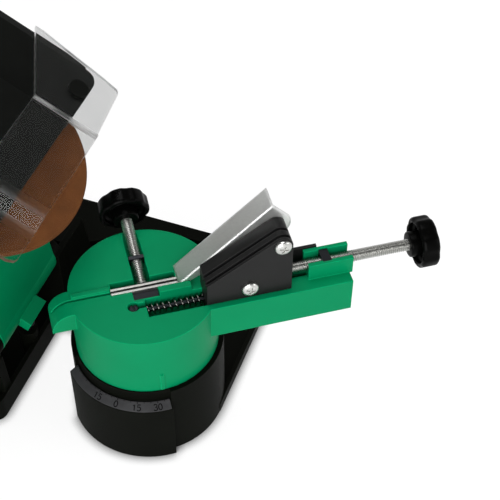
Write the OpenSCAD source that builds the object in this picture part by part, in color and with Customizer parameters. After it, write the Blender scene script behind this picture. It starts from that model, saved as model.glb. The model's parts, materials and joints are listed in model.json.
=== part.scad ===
// Bench grinder for saw chains: a tilting grinding head above a turning chain vise.
// Millimetres. Origin on the turning axis of the vise, at bench level. +X to the
// operator's right, +Y away from the operator, +Z up.

/* [Cup and scale] */
// Outside radius of the cup that carries the turning vise
cup_r = 38; // [37:0.5:42]
// Height of the cup above the bench
cup_h = 48; // [44:1:56]
// Bore radius of the cup
cup_bore_r = 34; // [32:0.25:34.5]
// Height of the underside of the cup floor
cup_floor_z = 26; // [24:1:28]
// Thickness of the cup floor
cup_floor_t = 4; // [3:0.5:5]
// Radius of the roughened lip above the angle scale
lip_r = 36.3; // [35.6:0.1:36.8]
// Height of that lip
lip_h = 6.5; // [5:0.5:8]
// Radius of the wall below the angle scale
scale_r = 41.3; // [41:0.1:44]
// Drop of the sloping scale face
scale_drop = 3.5; // [2.5:0.5:5]
// Angle where the scale face starts, seen from above
scale_from = -137; // [-145:1:-120]
// Angle where the scale face ends
scale_to = -50; // [-60:1:-40]
// Thickness of the scale plate
scale_plate_t = 0.5; // [0.4:0.1:1]

/* [Base tray] */
// Left edge of the base
base_left = -150; // [-170:1:-140]
// Rear edge of the base
base_rear = 101; // [96:1:120]
// Front edge of the left limb
limb_front = -46; // [-60:1:-40]
// Right face of the left limb
limb_right = -64.4; // [-66:0.1:-63]
// Height of the left limb's wall
limb_h = 14; // [11:1:18]
// Thickness of the walls
wall_t = 2.4; // [2:0.1:3.5]
// Thickness of the floor
floor_t = 3; // [2.5:0.5:5]
// Height of the low rim on the right
rim_h = 6; // [5:0.5:9]
// Right face of the base
base_right = 38.3; // [38:0.1:44]
// Where the open notch in front ends
notch_y = 22; // [16:1:26]
// Height of the rear deck
deck_h = 17; // [15:1:20]
// Front edge of the wide part of the deck
deck_front = 65.5; // [62:0.5:70]
// Width of the narrow deck along the rear edge
deck_rear_w = 8; // [6:0.5:12]
// Radius of the bench bolt holes
bolt_hole_r = 4.25; // [3.5:0.25:5]
// Spacing of the two bolt holes in the left limb
bolt_pitch = 70; // [60:1:80]

/* [Hinge] */
// Left to right place of the hinge axis
hinge_x = -74.7; // [-76:0.1:-73]
// Height of the hinge axis
hinge_z = 46.2; // [44:0.1:48]
// Radius of the hinge pin
hinge_pin_r = 4; // [3:0.25:4.5]
// Radius of the rounded ear tops
ear_r = 10; // [9:0.5:11]
// Inner faces of the two ears, from the middle
ear_inner = 30; // [28:0.5:32]
// Thickness of each ear
ear_t = 6; // [5:0.5:8]
// Height of the shoulder beside the rear ear
ear_shoulder_z = 49; // [46:0.5:52]
// Radius of the yoke round the pin
yoke_r = 10; // [9:0.5:10.5]
// Wire of the return spring
return_wire = 1.6; // [1:0.1:1.8]
// Curls of the return spring
return_turns = 5; // [4:1:6]

/* [Vise body] */
// Angle of the vise arm from +X, seen from above
vise_turn = 35; // [0:1:35]
// Radius of the vise drum at the top
drum_r = 36; // [35.6:0.1:37]
// Height of the top of the drum
drum_top = 85; // [80:1:92]
// Narrowing of the drum towards its foot
drum_draft = 0.5; // [0:0.1:1]
// Distance from the drum axis to the end of the arm
arm_len = 97.5; // [94:0.5:102]
// Front face of the arm
arm_front = -23.2; // [-24.5:0.1:-22]
// Back face of the arm
arm_back = -5.3; // [-6:0.1:-5]
// Depth of the arm
arm_h = 20; // [17:1:22]
// Width of the channel in the arm
channel_w = 11; // [10:0.5:11]
// Front edge of the channel
channel_front = -20; // [-20.6:0.1:-19.6]
// Depth of the channel
channel_deep = 9; // [8.5:0.25:10]
// End of the channel along the arm
channel_end = 67.4; // [67:0.1:72]
// Length of the screw guide on the end of the arm
guide_len = 22; // [18:1:23]
// Height of the screw guide above the arm
guide_h = 9.3; // [8:0.1:11]
// End of the nose on the far side of the drum
nose_end = -46; // [-50:0.5:-44]

/* [Chain rails] */
// Width of the chain slot between the rails
slot_w = 1.35; // [1.1:0.05:1.6]
// Distance of the slot's middle from the drum axis
slot_mid = -1.3; // [-1.6:0.1:-1]
// Thickness of each rail
rail_t = 1.2; // [1:0.1:1.5]
// Length of each rail
rail_len = 34; // [30:1:36]
// Height of each rail
rail_h = 11.5; // [10:0.5:12]
// Height of the rails above the drum
rail_proud = 0.5; // [0.2:0.1:1.5]

/* [Clamp screw] */
// Upward tilt of the clamp screw in degrees
clamp_tilt = 12.5; // [10:0.5:14]
// Height of the clamp screw where it meets the rail
clamp_z = 79.5; // [79:0.25:80]
// Radius of the clamp and adjusting screws
screw_r = 3; // [2.5:0.25:3]
// Length of the clamp screw up to its knob
clamp_len = 40; // [38:0.5:44]
// Half width of the trough for the clamp screw
trough_r = 3.9; // [3.6:0.1:4.3]

/* [Knobs] */
// Outside radius of the hand knobs
knob_r = 12.8; // [11:0.2:13.4]
// Thickness of the hand knobs
knob_t = 9; // [7:0.5:10]
// Number of flutes round a knob
knob_flutes = 7; // [5:1:9]
// Radius of the lock knob under the cup
lock_knob_r = 18; // [15:0.5:22]

/* [Chain stop] */
// Left end of the stop block along the arm
block_u = 26.5; // [26:0.1:28]
// Length of the stop block
block_len = 41; // [39:0.5:42]
// Front face of the stop block
block_front = -20; // [-20.4:0.1:-19.6]
// Back face of the stop block
block_back = -5.5; // [-5.8:0.1:-5.4]
// Height of the low end of the block above the drum top
block_low_h = 12.5; // [11:0.5:14]
// Height of the flap pivot above the drum top
pivot_h = 30.6; // [28:0.1:32]
// Place of the flap pivot along the arm
pivot_u = 62.6; // [61.5:0.1:63]
// Place of the lower block screw along the arm
lower_u = 47.1; // [45:0.1:49]
// Height of the lower block screw above the drum top
lower_h = 6.3; // [5.5:0.1:7]
// Thickness of the stop flap
flap_t = 1.2; // [1:0.1:1.5]
// Width of the flap's top flange
flange_w = 12; // [10:0.5:13]
// Slope of the flap's fold in degrees
flap_slope = 42.2; // [40:0.1:43]
// Left end of the flap along the arm
flap_u = 16; // [15.5:0.1:18]

/* [Stop spring] */
// Outside radius of the stop spring
spring_r = 2.8; // [2.5:0.1:3.2]
// Wire of the stop spring
spring_wire = 0.95; // [0.7:0.05:1]
// Curls of the stop spring
spring_turns = 10; // [8:1:11]
// Radius of the rod through the stop spring
rod_r = 1.15; // [1:0.05:1.3]
// Depth of the spring's axis below the drum top
spring_deep = 4; // [3.5:0.1:4.2]
// Distance of the spring's axis from the drum axis
spring_v = -12.2; // [-12.6:0.1:-12]

/* [Adjusting screw] */
// Height of the adjusting screw above the drum top
adjust_h = 4.3; // [4:0.1:5]
// Distance of the adjusting screw from the drum axis
adjust_v = -11.2; // [-11.6:0.1:-11]
// Place of the adjusting knob along the arm
adjust_knob_u = 129; // [120:1:140]

/* [Grinding head] */
// Left to right place of the wheel centre
head_x = -80.3; // [-82:0.1:-79]
// Height of the wheel centre
head_z = 145; // [143:0.5:147]
// Lean of the wheel axis from upright
head_lean = 27; // [26:0.5:28]
// Radius of the grinding wheel
wheel_r = 54; // [50:0.5:54.5]
// Thickness of the grinding wheel
wheel_t = 3.2; // [2.5:0.1:4.5]
// Bore radius of the grinding wheel
wheel_bore_r = 11.5; // [10:0.25:12]
// Radius of the wheel flanges
flange_r = 17; // [15:0.5:20]
// Outside radius of the motor casing
casing_r = 32; // [31:0.5:33]
// Wall of the motor casing
casing_t = 2.5; // [2:0.1:3]
// Length of the motor casing
casing_len = 84; // [80:1:88]
// Radius of the spindle
spindle_r = 4; // [3.5:0.25:5]

/* [Hood and guard] */
// Edge of the wheel hood towards the work
hood_edge = 28.5; // [27:0.5:30]
// Half width of the wheel hood
hood_w = 70.5; // [67:0.5:71]
// Height of the hood's shoulders above the wheel
shoulder_z = 15; // [13:0.5:16]
// Height of the raised middle of the hood
crown_z = 25; // [22:0.5:27]
// Wall of the hood
hood_t = 2.5; // [2:0.1:3]
// Thickness of the clear guard
guard_t = 2; // [1.5:0.1:3]
// Upper edge of the clear guard
guard_from = 9.5; // [8:0.5:12]
// Lower edge of the clear guard
guard_to = 43.4; // [42:0.1:44]
// Far edge of the clear guard
guard_far = 72; // [70:0.5:73]
// Near edge of the clear guard
guard_near = -51; // [-54:0.5:-49]

/* [Handle] */
// Length of the handle
handle_len = 112; // [95:1:125]
// Width of the handle
handle_w = 28; // [24:0.5:32]
// Depth of the handle
handle_d = 32; // [28:0.5:36]

/* [Fits] */
// Clearance in a turning fit
run_gap = 0.08; // [0.05:0.01:0.09]
// Clearance beside a sliding piece
slide_gap = 0.2; // [0.1:0.05:0.3]

/* [Hidden] */
$fn = 64;

green = [0.03, 0.52, 0.3];
black = [0.12, 0.12, 0.12];
steel = [0.75, 0.75, 0.76];
copper = [0.72, 0.42, 0.2];
// Overlap that joins the shapes of one piece, and overshoot of a cut
join = 0.5;
past = 1;

// Cup and vise heights
spigot_deep = 10;
hub_r = 9;
drum_wall = 5;
web_z = 71;
stud_r = 5;
stud_top = 62;
stud_low = 6;
washer_t = 2;
lock_travel = 1.2;
lock_knob_t = 12;
collar_out = 3.5;
dish_deep = 3.5;
scale_face_z = cup_h - lip_h;
scale_fall = scale_drop / (scale_r - lip_r);
scale_seat = 0.25;

// Rails: faces of the two plates across the slot
rail_top = drum_top + rail_proud;
rail_low = rail_top - rail_h;
front_rail_v = slot_mid - slot_w / 2 - rail_t;
rear_rail_v = slot_mid + slot_w / 2;
rail_u = -rail_len / 2 + 1;
rail_screw_r = 1.25;
rail_screw_len = 5.5;
rail_screw_z = drum_top - 6;
rail_screw_u = [rail_u + rail_len / 2 - 11, rail_u + rail_len / 2 + 11];
recess_v = 4.7;
recess_len = 31.4;

// Clamp screw: where its rounded tip meets the rear rail
clamp_tip_v = rear_rail_v + rail_t + 0.45;
clamp_pitch = 1;
nut_at = 16;
nut_w = 7.4;
nut_t = 1.8;

// Chain stop
block_top_h = pivot_h + 4.4;
block_end = block_u + block_len;
pivot_z = drum_top + pivot_h;
lower_z = drum_top + lower_h;
spring_z = drum_top - spring_deep;
spring_from = -1.5;
post_u = -7.3;
post_r = 2.9;
adjust_z = drum_top + adjust_h;
stop_back = 4;
stop_forward = 5.5;
foot_len = 34;
web_front = block_back + slide_gap + 0.1;
web_back = web_front + flap_t;
tail_r = 8;
fold_u = pivot_u - 1;
fold_z = drum_top + 43;
guide_u = arm_len + 1.5 - guide_len;
guide_front = -17;
guide_back = -5.6;
square_nut = 8.4;
square_nut_t = 4.4;
square_nut_u = guide_u + 7.4;
nut_gap = 0.1;
m4_r = 2;

// Head: the hinge axis seen from the wheel centre, along and across the wheel axis
lean_c = cos(head_lean);
lean_s = sin(head_lean);
hinge_dx = hinge_x - head_x;
hinge_dz = hinge_z - head_z;
hinge_a = hinge_dx * lean_c - hinge_dz * lean_s;
hinge_n = hinge_dx * lean_s + hinge_dz * lean_c;
head_tilt = 31;
hood_back = -10.5;
hood_round = wheel_r + 22.5;
casing_top = hood_back - hood_t;
casing_low = casing_top - casing_len;
cover_t = 9;
bearing_r = 11;
bearing_t = 7;
seat_t = 4;
upper_bearing = casing_top - seat_t;
lower_bearing = casing_low - seat_t;
brush_room = 22;
fan_room = 26;
fan_gap = 4;
stack_low = casing_low + brush_room;
stack_len = casing_len - brush_room - fan_room;
stack_step = 2;
stator_bore = 20.5;
window_half = 10;
window_in = stator_bore + 1.5;
window_out = casing_r - casing_t - 3.5;
armature_r = stator_bore - 0.5;
armature_len = stack_len - 2 * stack_step;
armature_slot = armature_r - 4;
fan_r = 24;
fan_t = 2;
fan_hub_r = 8;
fan_hub_h = 9;
fan_blade_h = 8;
slope_in = 26;
slope_out = 33;

function arc(cx, cy, r, from, to, steps) =
    [for (i = [0:steps]) let (a = from + (to - from) * i / steps)
        [cx + r * cos(a), cy + r * sin(a)]];

// A slab parallel to the XZ plane, from y = from to y = to
module slab_y(from, to) {
    translate([0, to, 0]) rotate([90, 0, 0]) linear_extrude(to - from) children();
}

// A box from one corner to the opposite one
module span(low, high) {
    translate(low) cube(high - low);
}

// A round bar along +Y from y = from to y = to
module bar_y(r, from, to) {
    translate([0, to, 0]) rotate([90, 0, 0]) cylinder(r = r, h = to - from);
}

// A round bar along +X from x = from to x = to
module bar_x(r, from, to) {
    translate([from, 0, 0]) rotate([0, 90, 0]) cylinder(r = r, h = to - from);
}

module ring(outer, inner, h) {
    difference() {
        cylinder(r = outer, h = h);
        translate([0, 0, -past]) cylinder(r = inner, h = h + 2 * past);
    }
}

// Frames of the vise, of its clamp screw and of the grinding head
module in_vise() {
    rotate([0, 0, vise_turn]) children();
}

module in_clamp() {
    in_vise() translate([0, clamp_tip_v, clamp_z]) rotate([clamp_tilt - 90, 0, 0]) children();
}

module in_head() {
    translate([head_x, 0, head_z]) rotate([0, head_lean, 0]) children();
}

// Winding along +Z: curls of eight rings, with a straight end of one wire each
curl_rings = 8;
wire_sides = 6;
spring_gap = 0.3;

function wound(mean_r, turns, pitch, lead) =
    let (n = turns * curl_rings)
    [for (i = [-1:n + 1]) let (k = min(max(i, 0), n), a = 360 / curl_rings * k, s = (i - k) * lead)
        [mean_r * cos(a) - s * sin(a), mean_r * sin(a) + s * cos(a), pitch * k / curl_rings]];

function wound_gap(path, wire) =
    min([for (i = [0:len(path) - 1]) for (j = [i + 5:1:len(path) - 1])
        norm(path[i] - path[j])]) - wire;

module winding(mean_r, wire, turns, pitch) {
    path = wound(mean_r, turns, pitch, wire);
    n = len(path);
    m = wire_sides;
    points = [for (i = [0:n - 1])
        let (a = 360 / curl_rings * min(max(i - 1, 0), turns * curl_rings))
        for (j = [0:m - 1]) let (b = 360 / m * j)
            path[i] + wire / 2 * [cos(b) * cos(a), cos(b) * sin(a), sin(b)]];
    sides = [for (i = [0:n - 2]) for (j = [0:m - 1]) let (k = (j + 1) % m)
        each [[m * i + j, m * i + k, m * i + m + k], [m * i + j, m * i + m + k, m * i + m + j]]];
    last = m * (n - 1);
    caps = [for (j = [1:m - 2]) each [[0, j + 1, j], [last, last + j, last + j + 1]]];
    polyhedron(points = points, faces = concat(sides, caps));
}

// Fluted hand knob: the screw side is at z = 0 and has a collar in a dished ring
flute_wide = 0.9;
flute_deep = 0.7;

module star_knob(r, t, flutes, bore) {
    flute_r = r * flute_wide;
    collar_r = bore + 3.4;
    difference() {
        union() {
            translate([0, 0, collar_out]) linear_extrude(t) difference() {
                circle(r = r);
                for (i = [0:flutes - 1]) rotate((i + 0.5) * 360 / flutes)
                    translate([r + flute_r - flute_deep, 0]) circle(r = flute_r);
            }
            cylinder(r = collar_r, h = collar_out + t);
        }
        translate([0, 0, -past]) ring(r - 2.6, collar_r, past + collar_out + dish_deep);
    }
}

// Base
module ear_shape(flank_low, flank_high, flank_z) {
    polygon([[hinge_x - ear_r - 3, join], [flank_low, join], [flank_high, flank_z],
        [hinge_x + ear_r * 0.7, flank_z], [hinge_x + ear_r * 0.7, hinge_z],
        [hinge_x - ear_r, hinge_z]]);
    translate([hinge_x, hinge_z]) circle(r = ear_r);
}

module limb_plan(inset) {
    r = 6 - inset;
    x0 = base_left + inset;
    x1 = limb_right - inset;
    y0 = limb_front + inset;
    y1 = base_rear - inset;
    difference() {
        translate([x0, y0]) square([x1 - x0, y1 - y0]);
        for (x = [x0, x1]) translate([x, y0]) rotate(x == x0 ? 0 : 90) difference() {
            translate([-past, -past]) square(r + past);
            translate([r, r]) circle(r = r);
        }
    }
}

module cup_solid() {
    cylinder(r = cup_r, h = cup_h);
    rotate_extrude(angle = scale_to - scale_from, start = scale_from)
        polygon([[cup_bore_r, 0], [scale_r, 0], [scale_r, scale_face_z - scale_drop],
            [lip_r, scale_face_z], [cup_bore_r, scale_face_z]]);
}

module scale_cut() {
    rotate_extrude(angle = scale_to - scale_from, start = scale_from)
        polygon([[lip_r, scale_face_z], [scale_r + past, scale_face_z - scale_fall * (scale_r + past - lip_r)],
            [scale_r + past, cup_h + past], [lip_r, cup_h + past]]);
}

depth_x = hinge_x + 4.2;
depth_y = 1.4;
depth_r = 2.5;
depth_hex = 8;
depth_cap_r = 3.4;
depth_cap_top = 31.8;
depth_cap_t = 3;
depth_head_t = 3.5;
depth_travel = 4;
boss_top = depth_cap_top - depth_cap_t - depth_head_t - depth_travel - 1;

module base_housing() {
    deck = [[base_left, deck_front], [-75.8, deck_front], [-36.6, base_rear - deck_rear_w],
        [base_right, base_rear - deck_rear_w], [base_right, base_rear], [base_left, base_rear]];
    color(black) difference() {
        union() {
            difference() {
                linear_extrude(limb_h) limb_plan(0);
                translate([0, 0, floor_t]) linear_extrude(limb_h) limb_plan(wall_t);
                span([limb_right - wall_t - past, notch_y + wall_t, floor_t],
                    [limb_right + past, base_rear - wall_t, limb_h + past]);
            }
            span([limb_right - wall_t, notch_y, 0], [base_right, base_rear, floor_t]);
            span([0, 0, 0], [base_right, notch_y + join, floor_t]);
            span([limb_right - wall_t, notch_y, 0], [0, notch_y + wall_t, rim_h]);
            span([base_right - wall_t, 0, 0], [base_right, base_rear, rim_h]);
            linear_extrude(deck_h) polygon(deck);
            slab_y(base_rear - deck_rear_w - deck_h + rim_h, base_rear - deck_rear_w + join)
                polygon([[base_right - wall_t, 0], [base_right, 0], [base_right, rim_h + 4],
                    [base_right - wall_t, rim_h + 4]]);
            cup_solid();
            slab_y(ear_inner, ear_inner + ear_t) ear_shape(-62.8, -63.5, ear_shoulder_z);
            slab_y(-ear_inner - ear_t, -ear_inner) ear_shape(limb_right, -67, 36);
            translate([-67, 0, 0]) rotate([90, 0, 90]) linear_extrude(3.5)
                polygon([[ear_inner, floor_t - join], [deck_front + join, floor_t - join],
                    [deck_front + join, deck_h], [deck_front - 6, ear_shoulder_z],
                    [ear_inner, ear_shoulder_z]]);
            translate([depth_x, depth_y, 0]) cylinder(r = depth_r + 2.5, h = boss_top);
            span([depth_x, depth_y - 2, 0], [limb_right, depth_y + 2, limb_h]);
        }
        scale_cut();
        translate([0, 0, cup_floor_z + cup_floor_t]) cylinder(r = cup_bore_r, h = cup_h);
        translate([0, 0, -past]) cylinder(r = cup_bore_r, h = cup_floor_z + past);
        translate([0, 0, -past]) cylinder(r = stud_r + 0.5, h = cup_h);
        translate([hinge_x, 0, hinge_z])
            bar_y(hinge_pin_r, -ear_inner - ear_t - past, ear_inner + ear_t + past);
        translate([depth_x, depth_y, floor_t]) cylinder(r = depth_r, h = boss_top);
        for (s = [-1, 1]) translate([base_left + 15, 10 + s * bolt_pitch / 2, -past])
            cylinder(r = bolt_hole_r, h = deck_h);
        translate([22, 80, -past]) cylinder(r = bolt_hole_r, h = deck_h);
        span([base_left + wall_t, deck_front + wall_t, -past],
            [-82, base_rear - wall_t, deck_h - floor_t]);
    }
}

module scale_plate() {
    from_r = lip_r + 0.5;
    to_r = scale_r - 0.4;
    up = [scale_fall, 1] / norm([scale_fall, 1]);
    seat = scale_seat * up;
    rise = (scale_seat + scale_plate_t) * up;
    low = [to_r, scale_face_z - scale_fall * (to_r - lip_r)];
    high = [from_r, scale_face_z - scale_fall * (from_r - lip_r)];
    color([0.5, 0.5, 0.5])
        rotate_extrude(angle = scale_to - scale_from - 2, start = scale_from + 1)
            polygon([low + seat, low + rise, high + rise, high + seat]);
}

module hinge_pin() {
    end = ear_inner + ear_t + 3;
    color(steel) translate([hinge_x, 0, hinge_z]) difference() {
        bar_y(hinge_pin_r, -end, end);
        for (s = [-1, 1]) translate([0, s * (ear_inner + ear_t + 0.8), 0])
            rotate([90, 0, 0]) translate([0, 0, -0.6]) ring(hinge_pin_r + past, hinge_pin_r - 0.6, 1.2);
    }
}

module hinge_clips() {
    color(steel) for (s = [-1, 1])
        translate([hinge_x, s * (ear_inner + ear_t + 0.8), hinge_z])
            rotate([90, 0, 0]) translate([0, 0, -0.5]) difference() {
                ring(hinge_pin_r + 2.5, hinge_pin_r - 0.5, 1);
                span([-1.5, -hinge_pin_r - 4, -past], [1.5, 0, 2 + past]);
            }
}

return_pitch = 2.9;
return_mean_r = (hinge_pin_r + spring_gap + return_wire / 2) / cos(180 / curl_rings);

module return_spring() {
    color(steel) translate([hinge_x, -return_turns * return_pitch / 2, hinge_z])
        rotate([-90, 0, 0]) winding(return_mean_r, return_wire, return_turns, return_pitch);
}

module depth_cap() {
    color(black) translate([depth_x, depth_y, depth_cap_top - depth_cap_t])
        cylinder(r = depth_cap_r, h = depth_cap_t);
}

module depth_bolt() {
    head_low = depth_cap_top - depth_cap_t - depth_head_t;
    color(steel) translate([depth_x, depth_y, 0]) {
        translate([0, 0, head_low])
            cylinder(r = depth_hex / 2 / cos(30), h = depth_head_t, $fn = 6);
        translate([0, 0, floor_t + depth_travel + 1])
            cylinder(r = depth_r - run_gap, h = head_low - floor_t - depth_travel);
    }
}

// Vise body
module clamp_trough() {
    translate([0, clamp_tip_v, clamp_z]) rotate([clamp_tilt - 90, 0, 0]) {
        translate([0, 0, 3]) cylinder(r = trough_r, h = drum_r + 20);
        span([-trough_r, -30, 3], [trough_r, 0, drum_r + 20]);
        span([-nut_w / 2 - slide_gap, -30, nut_at - slide_gap],
            [nut_w / 2 + slide_gap, nut_w / 2 + slide_gap, nut_at + nut_t + slide_gap]);
    }
}

nose_front = -10;
nose_back = 5;
nose_h = 10.5;

module nose() {
    slab_y(nose_front, nose_back)
        polygon(concat(arc(nose_end + nose_h, drum_top - nose_h, nose_h, 180, 90, 12),
            [[0, drum_top], [0, drum_top - nose_h]]));
}

module vise_body() {
    color(green) in_vise() difference() {
        union() {
            translate([0, 0, cup_h]) cylinder(r1 = drum_r - drum_draft, r2 = drum_r, h = drum_top - cup_h);
            translate([0, 0, cup_h - spigot_deep])
                cylinder(r = cup_bore_r - run_gap, h = spigot_deep + join);
            span([0, arm_front, drum_top - arm_h], [arm_len, arm_back, drum_top]);
            nose();
            span([guide_u, guide_front, drum_top - join],
                [guide_u + guide_len, guide_back, drum_top + guide_h]);
            span([-0.9, -drum_r - 0.3, cup_h + 1], [0.9, -drum_r + 3, cup_h + 12]);
            span([6.2, -9, drum_top - join], [block_u - stop_back - 1, web_front - 0.2, drum_top + 3]);
            span([nose_end + nose_h + 1, slot_mid + 1, drum_top - join],
                [rail_u - 0.5, slot_mid + 3.4, drum_top + 1]);
        }
        translate([0, 0, cup_h - spigot_deep - past])
            ring(drum_r - drum_wall, hub_r, web_z - cup_h + spigot_deep + past);
        translate([0, 0, cup_h - spigot_deep - past])
            cylinder(r = stud_r, h = stud_top - cup_h + spigot_deep + past);
        span([40, arm_front + 2.5, drum_top - arm_h - past],
            [arm_len - 3, arm_back - 2.5, drum_top - channel_deep - 3]);
        span([spring_from, channel_front, drum_top - channel_deep],
            [channel_end, channel_front + channel_w, drum_top + past]);
        span([channel_end - join, adjust_v - 2.6, drum_top - 6],
            [guide_u + past, adjust_v + 1.2, drum_top + past]);
        span([rail_u - slide_gap, front_rail_v, rail_low - 0.3],
            [rail_u + rail_len + slide_gap, rear_rail_v + rail_t + 0.6, drum_top + past]);
        span([-recess_len / 2, rear_rail_v, rail_low - 0.3],
            [recess_len / 2, recess_v, drum_top + past]);
        span([nose_end - past, slot_mid - 0.65, drum_top - 6],
            [rail_u, slot_mid + 0.65, drum_top + past]);
        span([-6.2, front_rail_v - 5.2, rail_low - 0.3], [6.2, rear_rail_v, drum_top + past]);
        clamp_trough();
        translate([post_u, spring_v, drum_top - 14]) cylinder(r = post_r, h = 14 + past);
        span([post_u, spring_v - 1.6, spring_z - 1.7], [spring_from + past, spring_v + 1.6, drum_top + past]);
        span([guide_u - past, adjust_v - 3.5, drum_top],
            [guide_u + guide_len + past, adjust_v + 3.5, drum_top + guide_h + past]);
        span([square_nut_u - nut_gap, adjust_v - square_nut / 2 - nut_gap, drum_top - 0.5],
            [square_nut_u + square_nut_t + nut_gap, adjust_v + square_nut / 2 + nut_gap,
                drum_top + guide_h + past]);
        for (u = rail_screw_u) translate([u, 0, rail_screw_z])
            bar_y(rail_screw_r, front_rail_v - rail_screw_len, front_rail_v + past);
    }
}

module vise_stud() {
    color(steel) translate([0, 0, stud_low]) cylinder(r = stud_r, h = stud_top - stud_low);
}

module lock_washer() {
    color(steel) translate([0, 0, cup_floor_z - washer_t])
        ring(12, stud_r + run_gap, washer_t);
}

module lock_knob() {
    color(black) translate([0, 0, cup_floor_z - washer_t]) mirror([0, 0, 1]) difference() {
        star_knob(lock_knob_r, lock_knob_t - collar_out, 6, 6);
        translate([0, 0, -past]) cylinder(r = stud_r + run_gap, h = lock_knob_t + 2 * past);
    }
}

// Chain rails and clamp
module rail(v) {
    color(steel) span([rail_u, v, rail_low], [rail_u + rail_len, v + rail_t, rail_top]);
}

module rail_front() {
    in_vise() difference() {
        rail(front_rail_v);
        for (u = rail_screw_u) translate([u, 0, rail_screw_z])
            bar_y(rail_screw_r, front_rail_v - past, front_rail_v + rail_t + past);
    }
}

module rail_screws() {
    color(steel) in_vise() for (u = rail_screw_u) translate([u, 0, rail_screw_z])
            bar_y(rail_screw_r, front_rail_v - rail_screw_len, front_rail_v + rail_t);
}

module rail_support() {
    color([0.35, 0.36, 0.38]) in_vise() span([-6, front_rail_v - 5, rail_low - 0.3],
        [6, front_rail_v, drum_top - 1.2]);
}

module rail_rear() {
    in_vise() rail(rear_rail_v);
}

module clamp_nut() {
    color([0.3, 0.31, 0.32]) in_clamp() difference() {
        span([-nut_w / 2, -nut_w / 2, nut_at], [nut_w / 2, nut_w / 2, nut_at + nut_t]);
        translate([0, 0, nut_at - past]) cylinder(r = screw_r, h = nut_t + 2 * past);
    }
}

module clamp_screw() {
    color(steel) in_clamp() {
        cylinder(r = screw_r * 0.6, h = 3.2);
        translate([0, 0, 3]) cylinder(r = screw_r - run_gap, h = clamp_len + 3);
    }
}

module clamp_knob() {
    color(black) in_clamp() translate([0, 0, clamp_len]) difference() {
        star_knob(knob_r, knob_t, knob_flutes, screw_r);
        translate([0, 0, -past]) cylinder(r = screw_r - run_gap, h = 6 + past);
    }
}

// Chain stop
module guide_nut() {
    color([0.1, 0.1, 0.1]) in_vise() difference() {
        span([square_nut_u, adjust_v - square_nut / 2, drum_top - 0.5],
            [square_nut_u + square_nut_t, adjust_v + square_nut / 2, adjust_z + square_nut / 2]);
        translate([0, adjust_v, adjust_z]) bar_x(screw_r, guide_u, guide_u + guide_len);
    }
}

module guide_post() {
    color(steel) in_vise() translate([post_u, spring_v, drum_top - 14]) difference() {
        union() {
            cylinder(r = post_r, h = 9);
            cylinder(r = post_r - 0.9, h = 13);
        }
        translate([0, 0, 14 - spring_deep]) bar_x(rod_r, -past, post_r + past);
        span([-0.4, -post_r, 12], [0.4, post_r, 14]);
    }
}

module spring_rod() {
    color(steel) in_vise() translate([0, spring_v, spring_z])
        bar_x(rod_r, post_u, block_u + 9);
}

stop_pitch = (block_u - spring_from - spring_wire) / spring_turns;

module stop_spring() {
    color(steel) in_vise() translate([spring_from + spring_wire / 2, spring_v, spring_z])
        rotate([0, 90, 0]) winding(spring_r - spring_wire / 2, spring_wire, spring_turns, stop_pitch);
}

block_foot_low = drum_top - channel_deep + slide_gap;
groove_w = 1.8;
groove_drop = 3.2;
groove_deep = 1.6;
groove_end = 20;
tab_root = 4;
tab_front = guide_back + 0.25;
tab_t = 1.45;
tab_len = 16.5;
tab_low = drum_top + 0.3;
tab_top = drum_top + guide_h + 0.8;

module stop_block() {
    low_z = drum_top + block_low_h;
    foot_front = channel_front + slide_gap;
    foot_back = channel_front + channel_w - slide_gap;
    turn = atan2(pivot_z - low_z, pivot_u - block_u);
    round_r = block_end - pivot_u;
    color(black) in_vise() difference() {
        union() {
            slab_y(block_front, block_back) polygon(concat(
                [[block_u, drum_top], [block_end, drum_top]],
                arc(pivot_u, pivot_z, round_r, 0, 90 + turn, 8),
                [[block_u, low_z]]));
            span([block_u, foot_front, block_foot_low],
                [block_u + foot_len, foot_back, drum_top + join]);
            span([block_end - tab_root, block_back - join, tab_low],
                [block_end, tab_front + tab_t, tab_top]);
            span([block_end - join, tab_front, tab_low],
                [block_end + tab_len, tab_front + tab_t, tab_top]);
        }
        for (v = [block_front + 1.5, block_front + 6])
            slab_y(v, v + groove_w) polygon(concat([[block_u - past, low_z - groove_drop]],
                arc(pivot_u, pivot_z, round_r - groove_deep, 90 + turn, groove_end, 8),
                [[block_end + past, pivot_z + (round_r - groove_deep) * sin(groove_end)],
                    [block_end + past, pivot_z + 20], [block_u - past, low_z + 20]]));
        translate([0, spring_v, spring_z]) bar_x(rod_r + run_gap, block_u - past, block_u + 16);
        translate([pivot_u, 0, pivot_z]) bar_y(m4_r, block_front - past, block_back + past);
        translate([lower_u, 0, lower_z]) bar_y(m4_r, block_front - past, block_back + past);
    }
}

// Pan head screw along +Y with its head towards -Y and a cross recess
module pan_screw(head_r, shaft_r, from, to) {
    difference() {
        union() {
            bar_y(shaft_r, from - join, to);
            translate([0, from, 0]) rotate([90, 0, 0]) rotate_extrude()
                polygon(concat([[0, 0], [head_r, 0]],
                    [for (i = [0:6]) [head_r * cos(15 * i), 0.8 + 1.7 * sin(15 * i)]]));
        }
        for (a = [20, 110]) rotate([0, a, 0])
            span([-head_r * 0.55, from - 3, -0.5], [head_r * 0.55, from - 1.3, 0.5]);
    }
}

module block_screw() {
    color(steel) in_vise() translate([lower_u, 0, lower_z])
        pan_screw(4.1, m4_r, block_front, block_back + 3.5);
}

module pivot_screw() {
    color(steel) in_vise() translate([pivot_u, 0, pivot_z])
        pan_screw(4.1, m4_r, block_front, web_back + 4);
}

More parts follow.
